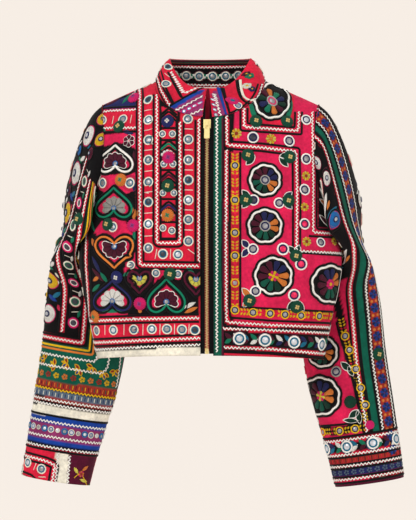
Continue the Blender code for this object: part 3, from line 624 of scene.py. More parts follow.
class Panel:
    # One piece of the jacket's cloth: points over its outer face, each with its place on the cut
    def __init__(self, name, points, flat, reach=6.0):
        self.name = name
        self.reach = reach  # how many cells its places may run on past an edge
        self.points = np.array(points)
        self.flat = np.array(flat)
        across = np.gradient(self.points, axis=0)
        up = np.gradient(self.points, axis=1)
        normal = np.cross(across, up)
        self.normal = normal / np.maximum(1e-12, np.linalg.norm(normal, axis=2))[:, :, None]
        self.seen = onPhoto(self.points)
        self.last = np.array(self.points.shape[:2]) - 1

    def sample(self, field, at):
        # Value and slopes of a field of the grid at fractional places, carried on past its edges
        cell = np.clip(np.floor(at).astype(int), 0, self.last - 1)
        f, g = (at - cell)[:, :1], (at - cell)[:, 1:]
        i, j = cell[:, 0], cell[:, 1]
        a, b, c, d = field[i, j], field[i + 1, j], field[i, j + 1], field[i + 1, j + 1]
        value = (a * (1 - f) + b * f) * (1 - g) + (c * (1 - f) + d * f) * g
        return value, (b - a) * (1 - g) + (d - c) * g, (c - a) * (1 - f) + (d - b) * f

    def solve(self, field, targets, usable=None):
        # Places on the grid where a field of two values meets its targets
        rows = np.stack(np.meshgrid(*(np.arange(n + 1) for n in self.last), indexing="ij"), axis=-1)
        starts = rows.reshape(-1, 2)
        known = field.reshape(-1, 2)
        if usable is not None:
            starts, known = starts[usable.ravel()], known[usable.ravel()]
        near = KDTree(len(known))
        for k, (x, y) in enumerate(known.tolist()):
            near.insert((x, y, 0.0), k)
        near.balance()
        at = np.array([starts[near.find((x, y, 0.0))[1]] for x, y in targets.tolist()], float)
        first = at.copy()
        for _ in range(finding["rounds"]):
            value, di, dj = self.sample(field, at)
            miss = targets - value
            area = di[:, 0] * dj[:, 1] - di[:, 1] * dj[:, 0]
            area = np.where(np.abs(area) < 1e-12, 1e-12, area)
            step = np.stack([
                miss[:, 0] * dj[:, 1] - miss[:, 1] * dj[:, 0],
                di[:, 0] * miss[:, 1] - di[:, 1] * miss[:, 0],
            ], axis=1) / area[:, None]
            step = np.clip(step, -finding["stride"], finding["stride"])
            at = np.clip(at + step, -self.reach, self.last + self.reach)
        missed = [
            np.linalg.norm(self.sample(field, some)[0] - targets, axis=1) for some in (at, first)
        ]
        strayed = (missed[0] > missed[1]) | (
            np.abs(at - first) > finding["stray"] + self.reach
        ).any(axis=1)
        at[strayed] = first[strayed]
        return at

    def fromPhoto(self, pixels):
        # Place on the flat cut of what is seen at each pixel
        facing = (self.normal * (cameraPlace - self.points)).sum(axis=2) > finding["facing"]
        if self.name.startswith("sleeve"):
            facing &= self.flat[:, :, 0] * frontWay(self) > finding["sleeveFront"]
        at = self.solve(self.seen, np.atleast_2d(np.array(pixels, float)), facing)
        return self.sample(self.flat, at)[0]

    def onCloth(self, places):
        # Point of the cloth at one flat place, and which way it faces there
        at = np.clip(self.solve(self.flat, places[:1]), 0, self.last)
        point, normal = self.sample(self.points, at)[0][0], self.sample(self.normal, at)[0][0]
        return point, normal / np.linalg.norm(normal)

    def wrap(self, places):
        # Flat places with a height, laid on the cloth, and which of them lie past its edges
        at = self.solve(self.flat, places[:, :2])
        past = ((at < -finding["past"]) | (at > self.last + finding["past"])).any(axis=1)
        at = np.clip(at, 0, self.last)
        miss = np.linalg.norm(self.sample(self.flat, at)[0] - places[:, :2], axis=1)
        past |= miss > finding["miss"]
        point = self.sample(self.points, at)[0]
        normal = self.sample(self.normal, at)[0]
        normal /= np.linalg.norm(normal, axis=1)[:, None]
        return point + normal * places[:, 2:3], past


def flatLengths(points):
    # Lengths up each column of a grid of points, from its low edge
    steps = np.linalg.norm(np.diff(points, axis=1), axis=2)
    return np.concatenate([np.zeros((len(points), 1)), np.cumsum(steps, axis=1)], axis=1)


def widthLengths(points):
    # Lengths across a grid of points, along each of its rows
    steps = np.linalg.norm(np.diff(points, axis=0), axis=2)
    return np.concatenate([np.zeros((1, points.shape[1])), np.cumsum(steps, axis=0)], axis=0)


def halfFlat(face, columns, start):
    # Flat places of half a body panel: how far round its ring, and how far up from the hem
    points = np.array(columns)
    flat = np.zeros(points.shape[:2] + (2,))
    for i, column in enumerate(points):
        for j, point in enumerate(column):
            xs, ys = section(face, point[2], start)
            flat[i, j, 0] = np.interp(abs(point[0]), xs, along(xs, ys))
    steps = np.diff(points, axis=1)
    ring = np.gradient(points, axis=0)[:, 1:] * [1, 1, 0]
    ring /= np.linalg.norm(ring, axis=2)[:, :, None]
    rise = np.sqrt(np.maximum(0, (steps**2).sum(axis=2) - (steps * ring).sum(axis=2) ** 2))
    low = points[:, :1, 2] - hemZMiddle
    flat[:, :, 1] = np.concatenate([low, low + np.cumsum(rise, axis=1)], axis=1)
    return flat


def smoother(values, count, ring=False):
    # A finer row of points through a coarse one, along the first axis
    n = len(values)
    if ring:
        values = np.concatenate([values[-2:], values, values[:3]])
        spots = np.linspace(0, n, count) + 2
    else:
        values = np.concatenate(
            [2 * values[:1] - values[1:2], values, 2 * values[-1:] - values[-2:-1]]
        )
        spots = np.linspace(0, n - 1, count) + 1
    k = np.clip(np.floor(spots).astype(int), 1, len(values) - 3)
    t = (spots - k).reshape((-1,) + (1,) * (values.ndim - 1))
    a, b, c, d = values[k - 1], values[k], values[k + 1], values[k + 2]
    return b + 0.5 * t * (c - a + t * (2 * a - 5 * b + 4 * c - d + t * (3 * (b - c) + d - a)))


def bodyPanels():
    steps = dict(neckSteps=11, shoulderSteps=12, low=22, high=34)
    half = halfBody(frontFace, frontEdge, **steps)
    flat = halfFlat(frontFace, half, frontEdge)
    left = Panel("front_left", half, flat)
    right = Panel("front_right", mirrored(half)[::-1], (flat * [-1, 1])[::-1])
    half = halfBody(backFace, 0.0, **steps)
    flat = halfFlat(backFace, half, 0.0)
    points = half[::-1] + mirrored(half)[1:]
    back = Panel("back", points, np.concatenate([(flat * [-1, 1])[::-1], flat[1:]]))
    return left, right, back


def sleevePanels():
    coarse = np.array(sleeveRings(halfBody(frontFace, frontEdge), halfBody(backFace, 0.0)))
    rings = smoother(coarse, 76)
    # round from its outer edge by the front, then cut open where it lies on the body
    tube = smoother(rings.transpose(1, 0, 2), 105, ring=True)
    tube = np.concatenate([tube[52:], tube[1:53]])[::-1, ::-1]
    flat = np.zeros(tube.shape[:2] + (2,))
    width = widthLengths(tube)
    flat[:, :, 0] = width - width[52]
    flat[:, :, 1] = flatLengths(tube)
    left = Panel("sleeve_left", tube, flat, 1.2)
    right = Panel("sleeve_right", mirrored(list(tube))[::-1], (flat * [-1, 1])[::-1], 1.2)
    return left, right


def collarPanels():
    count, rows = 49, 12
    first = math.asin(collarGapTop / collarTopHalf)
    turns = np.linspace(first, math.pi, count)
    half = [collarColumn(base, turn, rows) for base, turn in zip(neckCurve(count), turns)]
    points = np.array(half + mirrored(half)[::-1][1:])
    flat = np.zeros(points.shape[:2] + (2,))
    width = widthLengths(points)
    flat[:, :, 0] = width - width[count - 1]
    flat[:, :, 1] = flatLengths(points)
    outer = Panel("collar", points, flat, 0.6)
    inner = (points - outer.normal * collarWall)[::-1]
    return outer, Panel("collar_lining", inner, (flat * [-1, 1])[::-1], 0.6)


print("cloth: laying out the panels")
frontLeft, frontRight, backPanel = bodyPanels()
sleeveLeft, sleeveRight = sleevePanels()
collarOuter, collarInner = collarPanels()


# Materials
def setInputs(made, values):
    for name, value in values.items():
        made.inputs[name].default_value = value


def newMaterial(name, rough, metal=0.0):
    made = bpy.data.materials.new(name)
    made.use_nodes = True
    shader = made.node_tree.nodes["Principled BSDF"]
    setInputs(shader, {"Roughness": rough, "Metallic": metal})
    return made, made.node_tree, shader


def node(tree, kind, **values):
    # A node with its settings and inputs, each input a value or the output that feeds it
    made = tree.nodes.new(kind)
    for name, value in values.items():
        socket = name.replace("_", " ").title()
        if isinstance(value, bpy.types.NodeSocket):
            tree.links.new(value, made.inputs[socket])
        elif hasattr(made, name):
            setattr(made, name, value)
        else:
            made.inputs[socket].default_value = value
    return made


def mathNode(tree, operation, a, b=None):
    made = tree.nodes.new("ShaderNodeMath")
    made.operation = operation
    for k, value in enumerate((a, b)):
        if value is None:
            continue
        if isinstance(value, (int, float)):
            made.inputs[k].default_value = value
        else:
            tree.links.new(value, made.inputs[k])
    return made.outputs[0]


def noiseOver(tree, place, scale, detail, rough=0.5):
    # Noise in Object coordinates
    over = place.outputs["Object"]
    made = node(
        tree, "ShaderNodeTexNoise", scale=scale, detail=detail, roughness=rough, vector=over
    )
    return made.outputs["Fac"]


def ranged(tree, value, given, wanted):
    # A value carried from one range to another
    made = node(
        tree, "ShaderNodeMapRange", value=value,
        from_min=given[0], from_max=given[1], to_min=wanted[0], to_max=wanted[1],
    )
    return made.outputs["Result"]


def scaledBy(tree, colour, share):
    made = node(tree, "ShaderNodeVectorMath", operation="SCALE", vector=colour, scale=share)
    return made.outputs["Vector"]


# Noise that wears the cloth: its scale, its detail, its roughness and how far it shades the colour
slubLook = (190, 4, 0.5, (0.8, 1.15))
patchLook = (26, 5, 0.65, (0.62, 1.18))
middling = (0.3, 0.7)  # where most of such noise lies


def clothGrain():
    # Weave, slubs and fading of cotton, from Object coordinates
    group = bpy.data.node_groups.new("clothGrain", "ShaderNodeTree")
    face = group.interface
    for name, low in (("Thread", 0.0006), ("Fading", 0.25)):
        face.new_socket(name, in_out="INPUT", socket_type="NodeSocketFloat").default_value = low
    face.new_socket("Tint", in_out="INPUT", socket_type="NodeSocketColor")
    face.new_socket("Color", in_out="OUTPUT", socket_type="NodeSocketColor")
    face.new_socket("Height", in_out="OUTPUT", socket_type="NodeSocketFloat")
    link = group.links.new
    given, out = node(group, "NodeGroupInput"), node(group, "NodeGroupOutput")
    place = node(group, "ShaderNodeTexCoord")
    perThread = mathNode(group, "DIVIDE", math.tau / 2 / 10, given.outputs["Thread"])
    heights = []
    for way in ("X", "Z"):
        wave = node(
            group, "ShaderNodeTexWave", wave_type="BANDS", bands_direction=way,
            distortion=1.5, detail=1.0, vector=place.outputs["Object"], scale=perThread,
        )
        heights.append(wave.outputs["Fac"])
    weave = mathNode(group, "MAXIMUM", *heights)
    slubs, patches = (noiseOver(group, place, *look[:3]) for look in (slubLook, patchLook))
    both = mathNode(
        group, "MULTIPLY",
        ranged(group, patches, middling, patchLook[3]), ranged(group, slubs, middling, slubLook[3]),
    )
    mixed = node(group, "ShaderNodeMix", data_type="RGBA")
    link(given.outputs["Fading"], mixed.inputs["Factor"])
    link(given.outputs["Tint"], mixed.inputs["A"])
    link(scaledBy(group, given.outputs["Tint"], both), mixed.inputs["B"])
    link(mixed.outputs["Result"], out.inputs["Color"])
    link(mathNode(group, "ADD", weave, slubs), out.inputs["Height"])
    return group


grain = clothGrain()


def fabric(name, thread, fading, bump, rough=0.86, sheen=0.04, rows=None, tint=None):
    # Cotton or thread that takes its colour from the attribute "tint", with its stitches' rows
    made, tree, shader = newMaterial(name, rough)
    link = tree.links.new
    weave = node(tree, "ShaderNodeGroup", node_tree=grain, thread=thread, fading=fading)
    if tint is None:
        colour = node(tree, "ShaderNodeAttribute", attribute_name="tint")
        link(colour.outputs["Color"], weave.inputs["Tint"])
    else:
        weave.inputs["Tint"].default_value = (*tint, 1.0)
    link(weave.outputs["Color"], shader.inputs["Base Color"])
    height = weave.outputs["Height"]
    if rows:
        path = node(tree, "ShaderNodeUVMap", uv_map="thread")
        wave = node(
            tree, "ShaderNodeTexWave", wave_type="BANDS", bands_direction="X",
            scale=math.tau / 20 / rows, distortion=0.6, detail=1.0,
        )
        link(path.outputs["UV"], wave.inputs["Vector"])
        height = mathNode(tree, "ADD", weave.outputs["Height"], wave.outputs["Fac"])
        # painted shade and light: the colour darker in the grooves between the stitches' rows and a
        # little lighter on their crests
        dark = ranged(tree, wave.outputs["Fac"], (0.0, 1.0), (0.55, 1.1))
        link(scaledBy(tree, weave.outputs["Color"], dark), shader.inputs["Base Color"])
    bumps = node(tree, "ShaderNodeBump", strength=1.0, distance=bump, height=height)
    link(bumps.outputs["Normal"], shader.inputs["Normal"])
    setInputs(shader, {"Sheen Weight": sheen, "Sheen Roughness": 0.5, "Specular IOR Level": 0.16})
    return made


# How close the threads lie, how far the colour is faded and how deep the weave is, for each cloth
clothLooks = {
    "quilted_cotton": {"thread": 0.0011, "fading": 0.8, "bump": 0.00022},
    "lining_cotton": {
        "thread": 0.0009, "fading": 0.5, "bump": 0.00012, "tint": linear(196, 44, 70),
    },
    "satin_thread": {
        "thread": 0.0005, "fading": 0.45, "bump": 0.00022, "rough": 0.62, "sheen": 0.06,
        "rows": 0.0009,
    },
    "braid_thread": {"thread": 0.0006, "fading": 0.35, "bump": 0.00020, "rough": 0.75},
    "zigzag_cotton": {"thread": 0.0007, "fading": 0.4, "bump": 0.00018},
    "zip_tape_cloth": {"thread": 0.0005, "fading": 0.3, "bump": 0.00015, "tint": threads["black"]},
}
quiltedCotton, liningCotton, satinThread, braidThread, zigzagCotton, zipTapeCloth = (
    fabric(name, **look) for name, look in clothLooks.items()
)
brassLook = {
    "rough": 0.38, "metal": 0.72, "stains": 420,
    "dull": linear(212, 184, 112), "bright": linear(250, 230, 170),
}
mirrorLook = {"rough": 0.28, "metal": 0.35, "clouds": 260, "shade": (0.75, 1.15), "bump": 0.0004}


def brassMaterial():
    # Brass, stained a little where it is handled
    rough = brassLook["rough"]
    made, tree, shader = newMaterial("zip_brass", rough, brassLook["metal"])
    link = tree.links.new
    stain = noiseOver(tree, node(tree, "ShaderNodeTexCoord"), brassLook["stains"], 4)
    mixed = node(tree, "ShaderNodeMix", data_type="RGBA")
    mixed.inputs[6].default_value = (*brassLook["dull"], 1.0)
    mixed.inputs[7].default_value = (*brassLook["bright"], 1.0)
    link(stain, mixed.inputs["Factor"])
    link(mixed.outputs[2], shader.inputs["Base Color"])
    link(ranged(tree, stain, (0.0, 1.0), (rough * 0.7, rough * 1.5)), shader.inputs["Roughness"])
    return made


def mirrorMaterial():
    # Blown mirror glass: uneven, a little cloudy, each with its own tint
    made, tree, shader = newMaterial("mirror_glass", mirrorLook["rough"], mirrorLook["metal"])
    link = tree.links.new
    cloud = noiseOver(tree, node(tree, "ShaderNodeTexCoord"), mirrorLook["clouds"], 3)
    colour = node(tree, "ShaderNodeAttribute", attribute_name="tint")
    shade = ranged(tree, cloud, middling, mirrorLook["shade"])
    link(scaledBy(tree, colour.outputs["Color"], shade), shader.inputs["Base Color"])
    bumps = node(tree, "ShaderNodeBump", distance=mirrorLook["bump"], height=cloud)
    link(bumps.outputs["Normal"], shader.inputs["Normal"])
    return made


zipBrass = brassMaterial()
mirrorGlass = mirrorMaterial()


# Geometry Nodes trees: braid along paths, and small shapes scattered on points
def treeWith(name, inputs):
    tree = bpy.data.node_groups.new(name, "GeometryNodeTree")
    tree.interface.new_socket("Geometry", in_out="INPUT", socket_type="NodeSocketGeometry")
    sockets = {}
    for label, kind, value in inputs:
        made = tree.interface.new_socket(label, in_out="INPUT", socket_type=f"NodeSocket{kind}")
        if value is not None:
            made.default_value = value
        sockets[label] = made.identifier
    tree.interface.new_socket("Geometry", in_out="OUTPUT", socket_type="NodeSocketGeometry")
    return tree, sockets, tree.nodes.new("NodeGroupInput"), tree.nodes.new("NodeGroupOutput")


def finishTree(tree, given, out, geometry):
    # Every tree ends in Realize Instances and Set Material
    real = node(tree, "GeometryNodeRealizeInstances", geometry=geometry)
    dressed = node(
        tree, "GeometryNodeSetMaterial",
        geometry=real.outputs[0], material=given.outputs["Material"],
    )
    tree.links.new(dressed.outputs[0], out.inputs[0])


def braidTree():
    # A cord or a zigzag braid: its path waved from side to side, with a low rounded section
    tree, sockets, given, out = treeWith("braidAlongPath", (
        ("Step", "Float", 0.003), ("Width", "Float", 0.004), ("Height", "Float", 0.0014),
        ("Wave", "Float", 0.0), ("Pitch", "Float", 0.006), ("Sides", "Int", 6),
        ("Material", "Material", None),
    ))
    asked = given.outputs
    stops = node(
        tree, "GeometryNodeResampleCurve", mode="LENGTH",
        curve=asked["Geometry"], length=asked["Step"],
    )
    way = node(tree, "GeometryNodeInputTangent").outputs[0]
    side = node(tree, "ShaderNodeVectorMath", operation="CROSS_PRODUCT", vector=way)
    side.inputs[1].default_value = (0, 0, 1)
    length = node(tree, "GeometryNodeSplineParameter").outputs["Length"]
    half = mathNode(tree, "DIVIDE", asked["Pitch"], 2.0)
    bounce = mathNode(tree, "PINGPONG", length, half)
    swing = mathNode(tree, "SUBTRACT", mathNode(tree, "DIVIDE", bounce, half), 0.5)
    swing = mathNode(tree, "MULTIPLY", swing, asked["Wave"])
    swing = mathNode(tree, "MULTIPLY", swing, node(tree, "GeometryNodeInputRadius").outputs[0])
    shift = scaledBy(tree, side.outputs[0], swing)
    moved = node(tree, "GeometryNodeSetPosition", geometry=stops.outputs[0], offset=shift)
    level = node(tree, "GeometryNodeSetCurveNormal", mode="Z_UP", curve=moved.outputs[0])
    profile = node(
        tree, "GeometryNodeCurvePrimitiveCircle", resolution=asked["Sides"], radius=0.5
    )
    size = node(tree, "ShaderNodeCombineXYZ", x=asked["Width"], y=asked["Height"], z=1.0)
    squash = node(
        tree, "GeometryNodeTransform", geometry=profile.outputs[0], scale=size.outputs[0]
    )
    swept = node(
        tree, "GeometryNodeCurveToMesh",
        curve=level.outputs[0], profile_curve=squash.outputs[0], fill_caps=True,
    )
    finishTree(tree, given, out, swept.outputs[0])
    return tree, sockets


def scatterTree():
    # A ring of wound thread, or a disc of glass, on each point, sized by the point's "reach"
    tree, sockets, given, out = treeWith("shapeOnPoints", (
        ("Disc", "Bool", False), ("Sides", "Int", 12), ("Thickness", "Float", 0.3),
        ("Rise", "Float", 0.3),
        ("Material", "Material", None),
    ))
    asked = given.outputs
    circle = "GeometryNodeCurvePrimitiveCircle"
    hoop = node(tree, circle, resolution=asked["Sides"], radius=1.0)
    profile = node(tree, circle, resolution=5, radius=asked["Thickness"])
    ring = node(
        tree, "GeometryNodeCurveToMesh", curve=hoop.outputs[0], profile_curve=profile.outputs[0]
    )
    disc = node(
        tree, "GeometryNodeMeshCone",
        vertices=asked["Sides"], radius_top=0.8, radius_bottom=1.0, depth=1.0,
    )
    choice = node(
        tree, "GeometryNodeSwitch", input_type="GEOMETRY",
        switch=asked["Disc"], false=ring.outputs[0], true=disc.outputs["Mesh"],
    )
    size = node(tree, "ShaderNodeCombineXYZ", x=1.0, y=1.0, z=asked["Rise"])
    flat = node(tree, "GeometryNodeTransform", geometry=choice.outputs[0], scale=size.outputs[0])
    reach = node(tree, "GeometryNodeInputNamedAttribute")
    reach.inputs["Name"].default_value = "reach"
    placed = node(
        tree, "GeometryNodeInstanceOnPoints",
        points=asked["Geometry"], instance=flat.outputs[0], scale=reach.outputs[0],
    )
    finishTree(tree, given, out, placed.outputs[0])
    return tree, sockets


braid, braidSockets = braidTree()
scatter, scatterSockets = scatterTree()


def baked(source, tree, sockets, values):
    # The plain mesh that a tree makes of an object, which is removed
    bpy.context.scene.collection.objects.link(source)
    step = source.modifiers.new("tree", "NODES")
    step.node_group = tree
    for label, value in values.items():
        step[sockets[label]] = value
    bpy.context.view_layer.update()
    seen = source.evaluated_get(bpy.context.evaluated_depsgraph_get())
    mesh = bpy.data.meshes.new_from_object(seen)
    source.modifiers.clear()
    bpy.data.objects.remove(source)
    return mesh


def readTints(mesh):
    tint = mesh.attributes.get("tint")
    values = np.ones(len(mesh.vertices) * 4)
    if tint.domain == "POINT":
        tint.data.foreach_get("color", values)
    return values.reshape(-1, 4)


def meshPlaces(mesh):
    places = np.empty(len(mesh.vertices) * 3)
    mesh.vertices.foreach_get("co", places)
    return places.reshape(-1, 3)


def finishPiece(name, places, faces, tints, material, uvs=None, body="jacket"):
    # One finished piece: its mesh, tints, stitch coordinates and material
    mesh = bpy.data.meshes.new(name)
    mesh.from_pydata(places.tolist() if hasattr(places, "tolist") else places, [], faces)
    tint = mesh.attributes.new("tint", "FLOAT_COLOR", "POINT")
    full = np.ones((len(mesh.vertices), 4), np.float32)
    full[:, :3] = np.asarray(tints)[:, :3]
    tint.data.foreach_set("color", full.ravel())
    if uvs is not None:
        loops = np.empty(len(mesh.loops), int)
        mesh.loops.foreach_get("vertex_index", loops)
        layer = mesh.uv_layers.new(name="thread")
        layer.data.foreach_set("uv", np.asarray(uvs, np.float32)[loops].ravel())
    mesh.materials.append(material)
    mesh.shade_smooth()
    mesh.validate()
    mesh.update()
    thing = bpy.data.objects.new(name, mesh)
    bpy.context.scene.collection.objects.link(thing)
    if body:
        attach(thing, body)
    return thing


def onCloth(panel, places, faces):
    # Flat work laid on its panel, without what falls past the panel's edges
    wrapped, past = panel.wrap(places)
    kept = [face for face in faces if not all(past[k] for k in face)]
    used = np.zeros(len(places), bool)
    for face in kept:
        used[list(face)] = True
    order = np.cumsum(used) - 1
    return wrapped[used], [tuple(order[k] for k in face) for face in kept], used


# How far apart a line's points lie, and how high each kind of thread lies over the cloth
stitch = {
    "step": 0.003, "cord": 0.0004, "zigzag": 0.0010, "outline": 0.0008, "bar": 0.0003,
    "leaf": 0.0012,
}
# A mirror's glass, thread ring and rim as shares of its reach, and how they stand on the cloth
mirrorParts = {
    "glass": 0.60, "ring": 0.70, "rim": 0.98, "sides": 14,
    "glassRise": 0.10, "glassLift": 0.0012, "threadThick": 0.17, "threadRise": 0.9,
    "threadLift": 0.0011,
}


class Work:
    # What is sewn on one panel, gathered flat before it is laid on the cloth
    def __init__(self, panel):
        self.panel = panel
        self.places, self.faces, self.tints, self.uvs = [], [], [], []
        self.count = 0
        self.paths = {"cord": [], "zigzag": [], "fine": []}
        self.glass, self.rings = [], []

    def add(self, places, faces, tint, uvs):
        self.places.append(np.asarray(places, float))
        tint = np.asarray(tint, float)
        self.tints.append(np.tile(tint, (len(places), 1)) if tint.ndim == 1 else tint)
        self.uvs.append(np.asarray(uvs, float))
        self.faces += [tuple(k + self.count for k in face) for face in faces]
        self.count += len(places)

    def dome(self, outline, height, tint, turn=0.0, base=0.0, edge=None):
        # A raised patch of satin stitch inside an outline, its threads across the way of turn
        outline = np.asarray(outline, float)
        x, y = outline[:, 0], outline[:, 1]
        if np.sum(x * np.roll(y, -1) - y * np.roll(x, -1)) < 0:
            outline = outline[::-1]
        n, middle = len(outline), outline.mean(axis=0)
        rows = ((1.0, base - 0.0004), (0.985, base + height * 0.5), (0.72, base + height * 0.95))
        places = [
            np.column_stack([middle + (outline - middle) * s, np.full(n, h)]) for s, h in rows
        ]
        places.append(np.array([[*middle, base + height]]))
        places = np.concatenate(places)
        faces = [tuple(range(n))[::-1]]
        for k in range(n):
            m = (k + 1) % n
            faces += [
                (k, m, n + m, n + k), (n + k, n + m, 2 * n + m, 2 * n + k),
                (2 * n + k, 2 * n + m, 3 * n),
            ]
        away = places[:, :2] - middle
        c, s = math.cos(turn), math.sin(turn)
        uvs = np.column_stack([away[:, 0] * c + away[:, 1] * s, away[:, 1] * c - away[:, 0] * s])
        tints = np.tile(np.asarray(tint, float), (len(places), 1))
        if edge is not None:
            tints[: 2 * n] = edge
        self.add(places, faces, tints, uvs)

    def path(self, kind, places, tint, width=1.0, closed=False, lift=0.0):
        self.paths[kind].append((np.asarray(places, float), tint, width, closed, lift))

    def mirror(self, at, reach, glass="glass", ring="teal", rim="cream"):
        self.glass.append((at, reach * mirrorParts["glass"], threads[glass]))
        self.rings.append((at, reach * mirrorParts["ring"], threads[ring]))
        if rim:
            self.rings.append((at, reach * mirrorParts["rim"], threads[rim]))


def evenly(places, step, closed=False):
    # The same line with points a step apart
    places = np.asarray(places, float)
    if closed:
        places = np.vstack([places, places[:1]])
    lengths = pathLength(places)
    count = max(2, int(round(lengths[-1] / step)) + 1)
    stops = np.linspace(0, lengths[-1], count)
    made = np.column_stack(
        [np.interp(stops, lengths, places[:, k]) for k in range(places.shape[1])]
    )
    return made[:-1] if closed else made


def rounded(places, closed=False, rounds=2):
    # Cuts the corners of a line a little, again and again
    places = np.asarray(places, float)
    for _ in range(rounds):
        ahead = np.roll(places, -1, axis=0)
        first, second = places * 0.75 + ahead * 0.25, places * 0.25 + ahead * 0.75
        if closed:
            places = np.stack([first, second], axis=1).reshape(-1, places.shape[1])
        else:
            inner = np.stack([first[:-1], second[:-1]], axis=1).reshape(-1, places.shape[1])
            places = np.vstack([places[:1], inner, places[-1:]])
    return places


def pathCurve(lines):
    # A curve object with one spline for each line, its tint and its width
    data = bpy.data.curves.new("paths", "CURVE")
    data.dimensions = "3D"
    for places, tint, width, closed, lift in lines:
        spline = data.splines.new("POLY")
        spline.points.add(len(places) - 1)
        high = places[:, 2] if places.shape[1] > 2 else np.full(len(places), lift)
        for k, point in enumerate(spline.points):
            point.co = (places[k, 0], places[k, 1], high[k], 1.0)
            point.radius = width
        spline.use_cyclic_u = closed
    return bpy.data.objects.new("paths", data)


braids = {
    "cord": {
        "Step": 0.0034, "Width": 0.0042, "Height": 0.0022, "Wave": 0.0, "Pitch": 0.01, "Sides": 5,
    },
    "fine": {
        "Step": 0.0038, "Width": 0.0015, "Height": 0.0015, "Wave": 0.0, "Pitch": 0.01, "Sides": 4,
    },
    "zigzag": {
        "Step": 0.0018, "Width": 0.0024, "Height": 0.0013, "Wave": 0.0046, "Pitch": 0.0064,
        "Sides": 5,
    },
}


def layBraids(work, kind, name, material):
    # One piece of braid: every line of one kind on a panel, by colour
    colours = {}
    for line in work.paths[kind]:
        colours.setdefault(tuple(line[1]), []).append(line)
    places, faces, tints = [], [], []
    total = 0
    for colour, lines in colours.items():
        mesh = baked(pathCurve(lines), braid, braidSockets, {**braids[kind], "Material": material})
        some = meshPlaces(mesh)
        places.append(some)
        faces += [tuple(k + total for k in poly.vertices) for poly in mesh.polygons]
        tints.append(np.tile(colour, (len(some), 1)))
        total += len(some)
        bpy.data.meshes.remove(mesh)
    if not places:
        return None
    places, tints = np.concatenate(places), np.concatenate(tints)
    wrapped, faces, used = onCloth(work.panel, places, faces)
    return finishPiece(name, wrapped, faces, tints[used], material)


def layShapes(work, rows, name, material, disc, thickness, rise, lift):
    if not rows:
        return None
    mesh = bpy.data.meshes.new("points")
    mesh.from_pydata([(*at, lift) for at, _, _ in rows], [], [])
    mesh.attributes.new("reach", "FLOAT", "POINT").data.foreach_set(
        "value", [r for _, r, _ in rows],
    )
    tint = mesh.attributes.new("tint", "FLOAT_COLOR", "POINT")
    tint.data.foreach_set("color", [v for _, _, colour in rows for v in (*colour, 1.0)])
    source = bpy.data.objects.new("points", mesh)
    values = {
        "Disc": disc, "Sides": mirrorParts["sides"], "Thickness": thickness, "Rise": rise,
        "Material": material,
    }
    made = baked(source, scatter, scatterSockets, values)
    places, tints = meshPlaces(made), readTints(made)
    wrapped, faces, used = onCloth(work.panel, places, [tuple(p.vertices) for p in made.polygons])
    return finishPiece(name, wrapped, faces, tints[used], material)


def layWork(work):
    # All the pieces sewn on one panel
    name = work.panel.name
    made = []
    if work.count:
        places, uvs = np.concatenate(work.places), np.concatenate(work.uvs)
        tints = np.concatenate(work.tints)
        wrapped, faces, used = onCloth(work.panel, places, work.faces)
        made.append(
            finishPiece(f"{name}_stitched", wrapped, faces, tints[used], satinThread, uvs[used])
        )
    for kind, ending, material in (
        ("cord", "cords", braidThread), ("fine", "outlines", braidThread),
        ("zigzag", "zigzag", zigzagCotton),
    ):
        made.append(layBraids(work, kind, f"{name}_{ending}", material))
    part = mirrorParts
    made.append(layShapes(
        work, work.glass, f"{name}_mirrors", mirrorGlass, True, 0.0, part["glassRise"],
        part["glassLift"],
    ))
    made.append(layShapes(
        work, work.rings, f"{name}_mirror_rings", braidThread, False,
        part["threadThick"], part["threadRise"], part["threadLift"],
    ))
    for thing in made:
        if thing:
            print(
                f"{thing.name}: {sum(len(p.vertices) - 2 for p in thing.data.polygons)} triangles"
            )
    return [thing for thing in made if thing]


def ellipse(x, y, halfLong, halfWide, turnDeg=0.0, count=14):
    turns = np.linspace(0, math.tau, count + 1)[:-1]
    c, s = math.cos(math.radians(turnDeg)), math.sin(math.radians(turnDeg))
    a, b = halfLong * np.cos(turns), halfWide * np.sin(turns)
    return np.column_stack([x + a * c - b * s, y + a * s + b * c])


def offset(places, away, closed=True):
    # The same line moved to its left by a distance
    ahead = np.roll(places, -1, axis=0) - np.roll(places, 1, axis=0)
    if not closed:
        ahead[0], ahead[-1] = places[1] - places[0], places[-1] - places[-2]
    ahead /= np.maximum(1e-9, np.linalg.norm(ahead, axis=1))[:, None]
    return places + np.column_stack([-ahead[:, 1], ahead[:, 0]]) * away


def leafLine(start, end, wide, count=7):
    # A pointed leaf between two places
    start, end = np.array(start, float), np.array(end, float)
    way = end - start
    side = np.array([-way[1], way[0]]) / max(1e-9, np.linalg.norm(way))
    t = np.linspace(0, 1, count)
    bow = np.sin(t * math.pi) ** 0.8 * wide / 2
    one = start + way * t[:, None] + side * bow[:, None]
    two = start + way * t[::-1, None] - side * bow[::-1, None]
    return np.vstack([one, two[1:-1]])


def petalLine(middle, way, inner, reach, wide):
    # A petal that widens outwards to a round end
    side = np.array([-way[1], way[0]])
    turns = np.linspace(-1.25, 1.25, 7)
    cap = reach - wide
    end = [middle + way * (cap + wide * math.cos(a)) + side * wide * math.sin(a) for a in turns]
    foot = wide * 0.22 + inner * 0.12
    return np.array([middle + way * inner - side * foot, *end, middle + way * inner + side * foot])


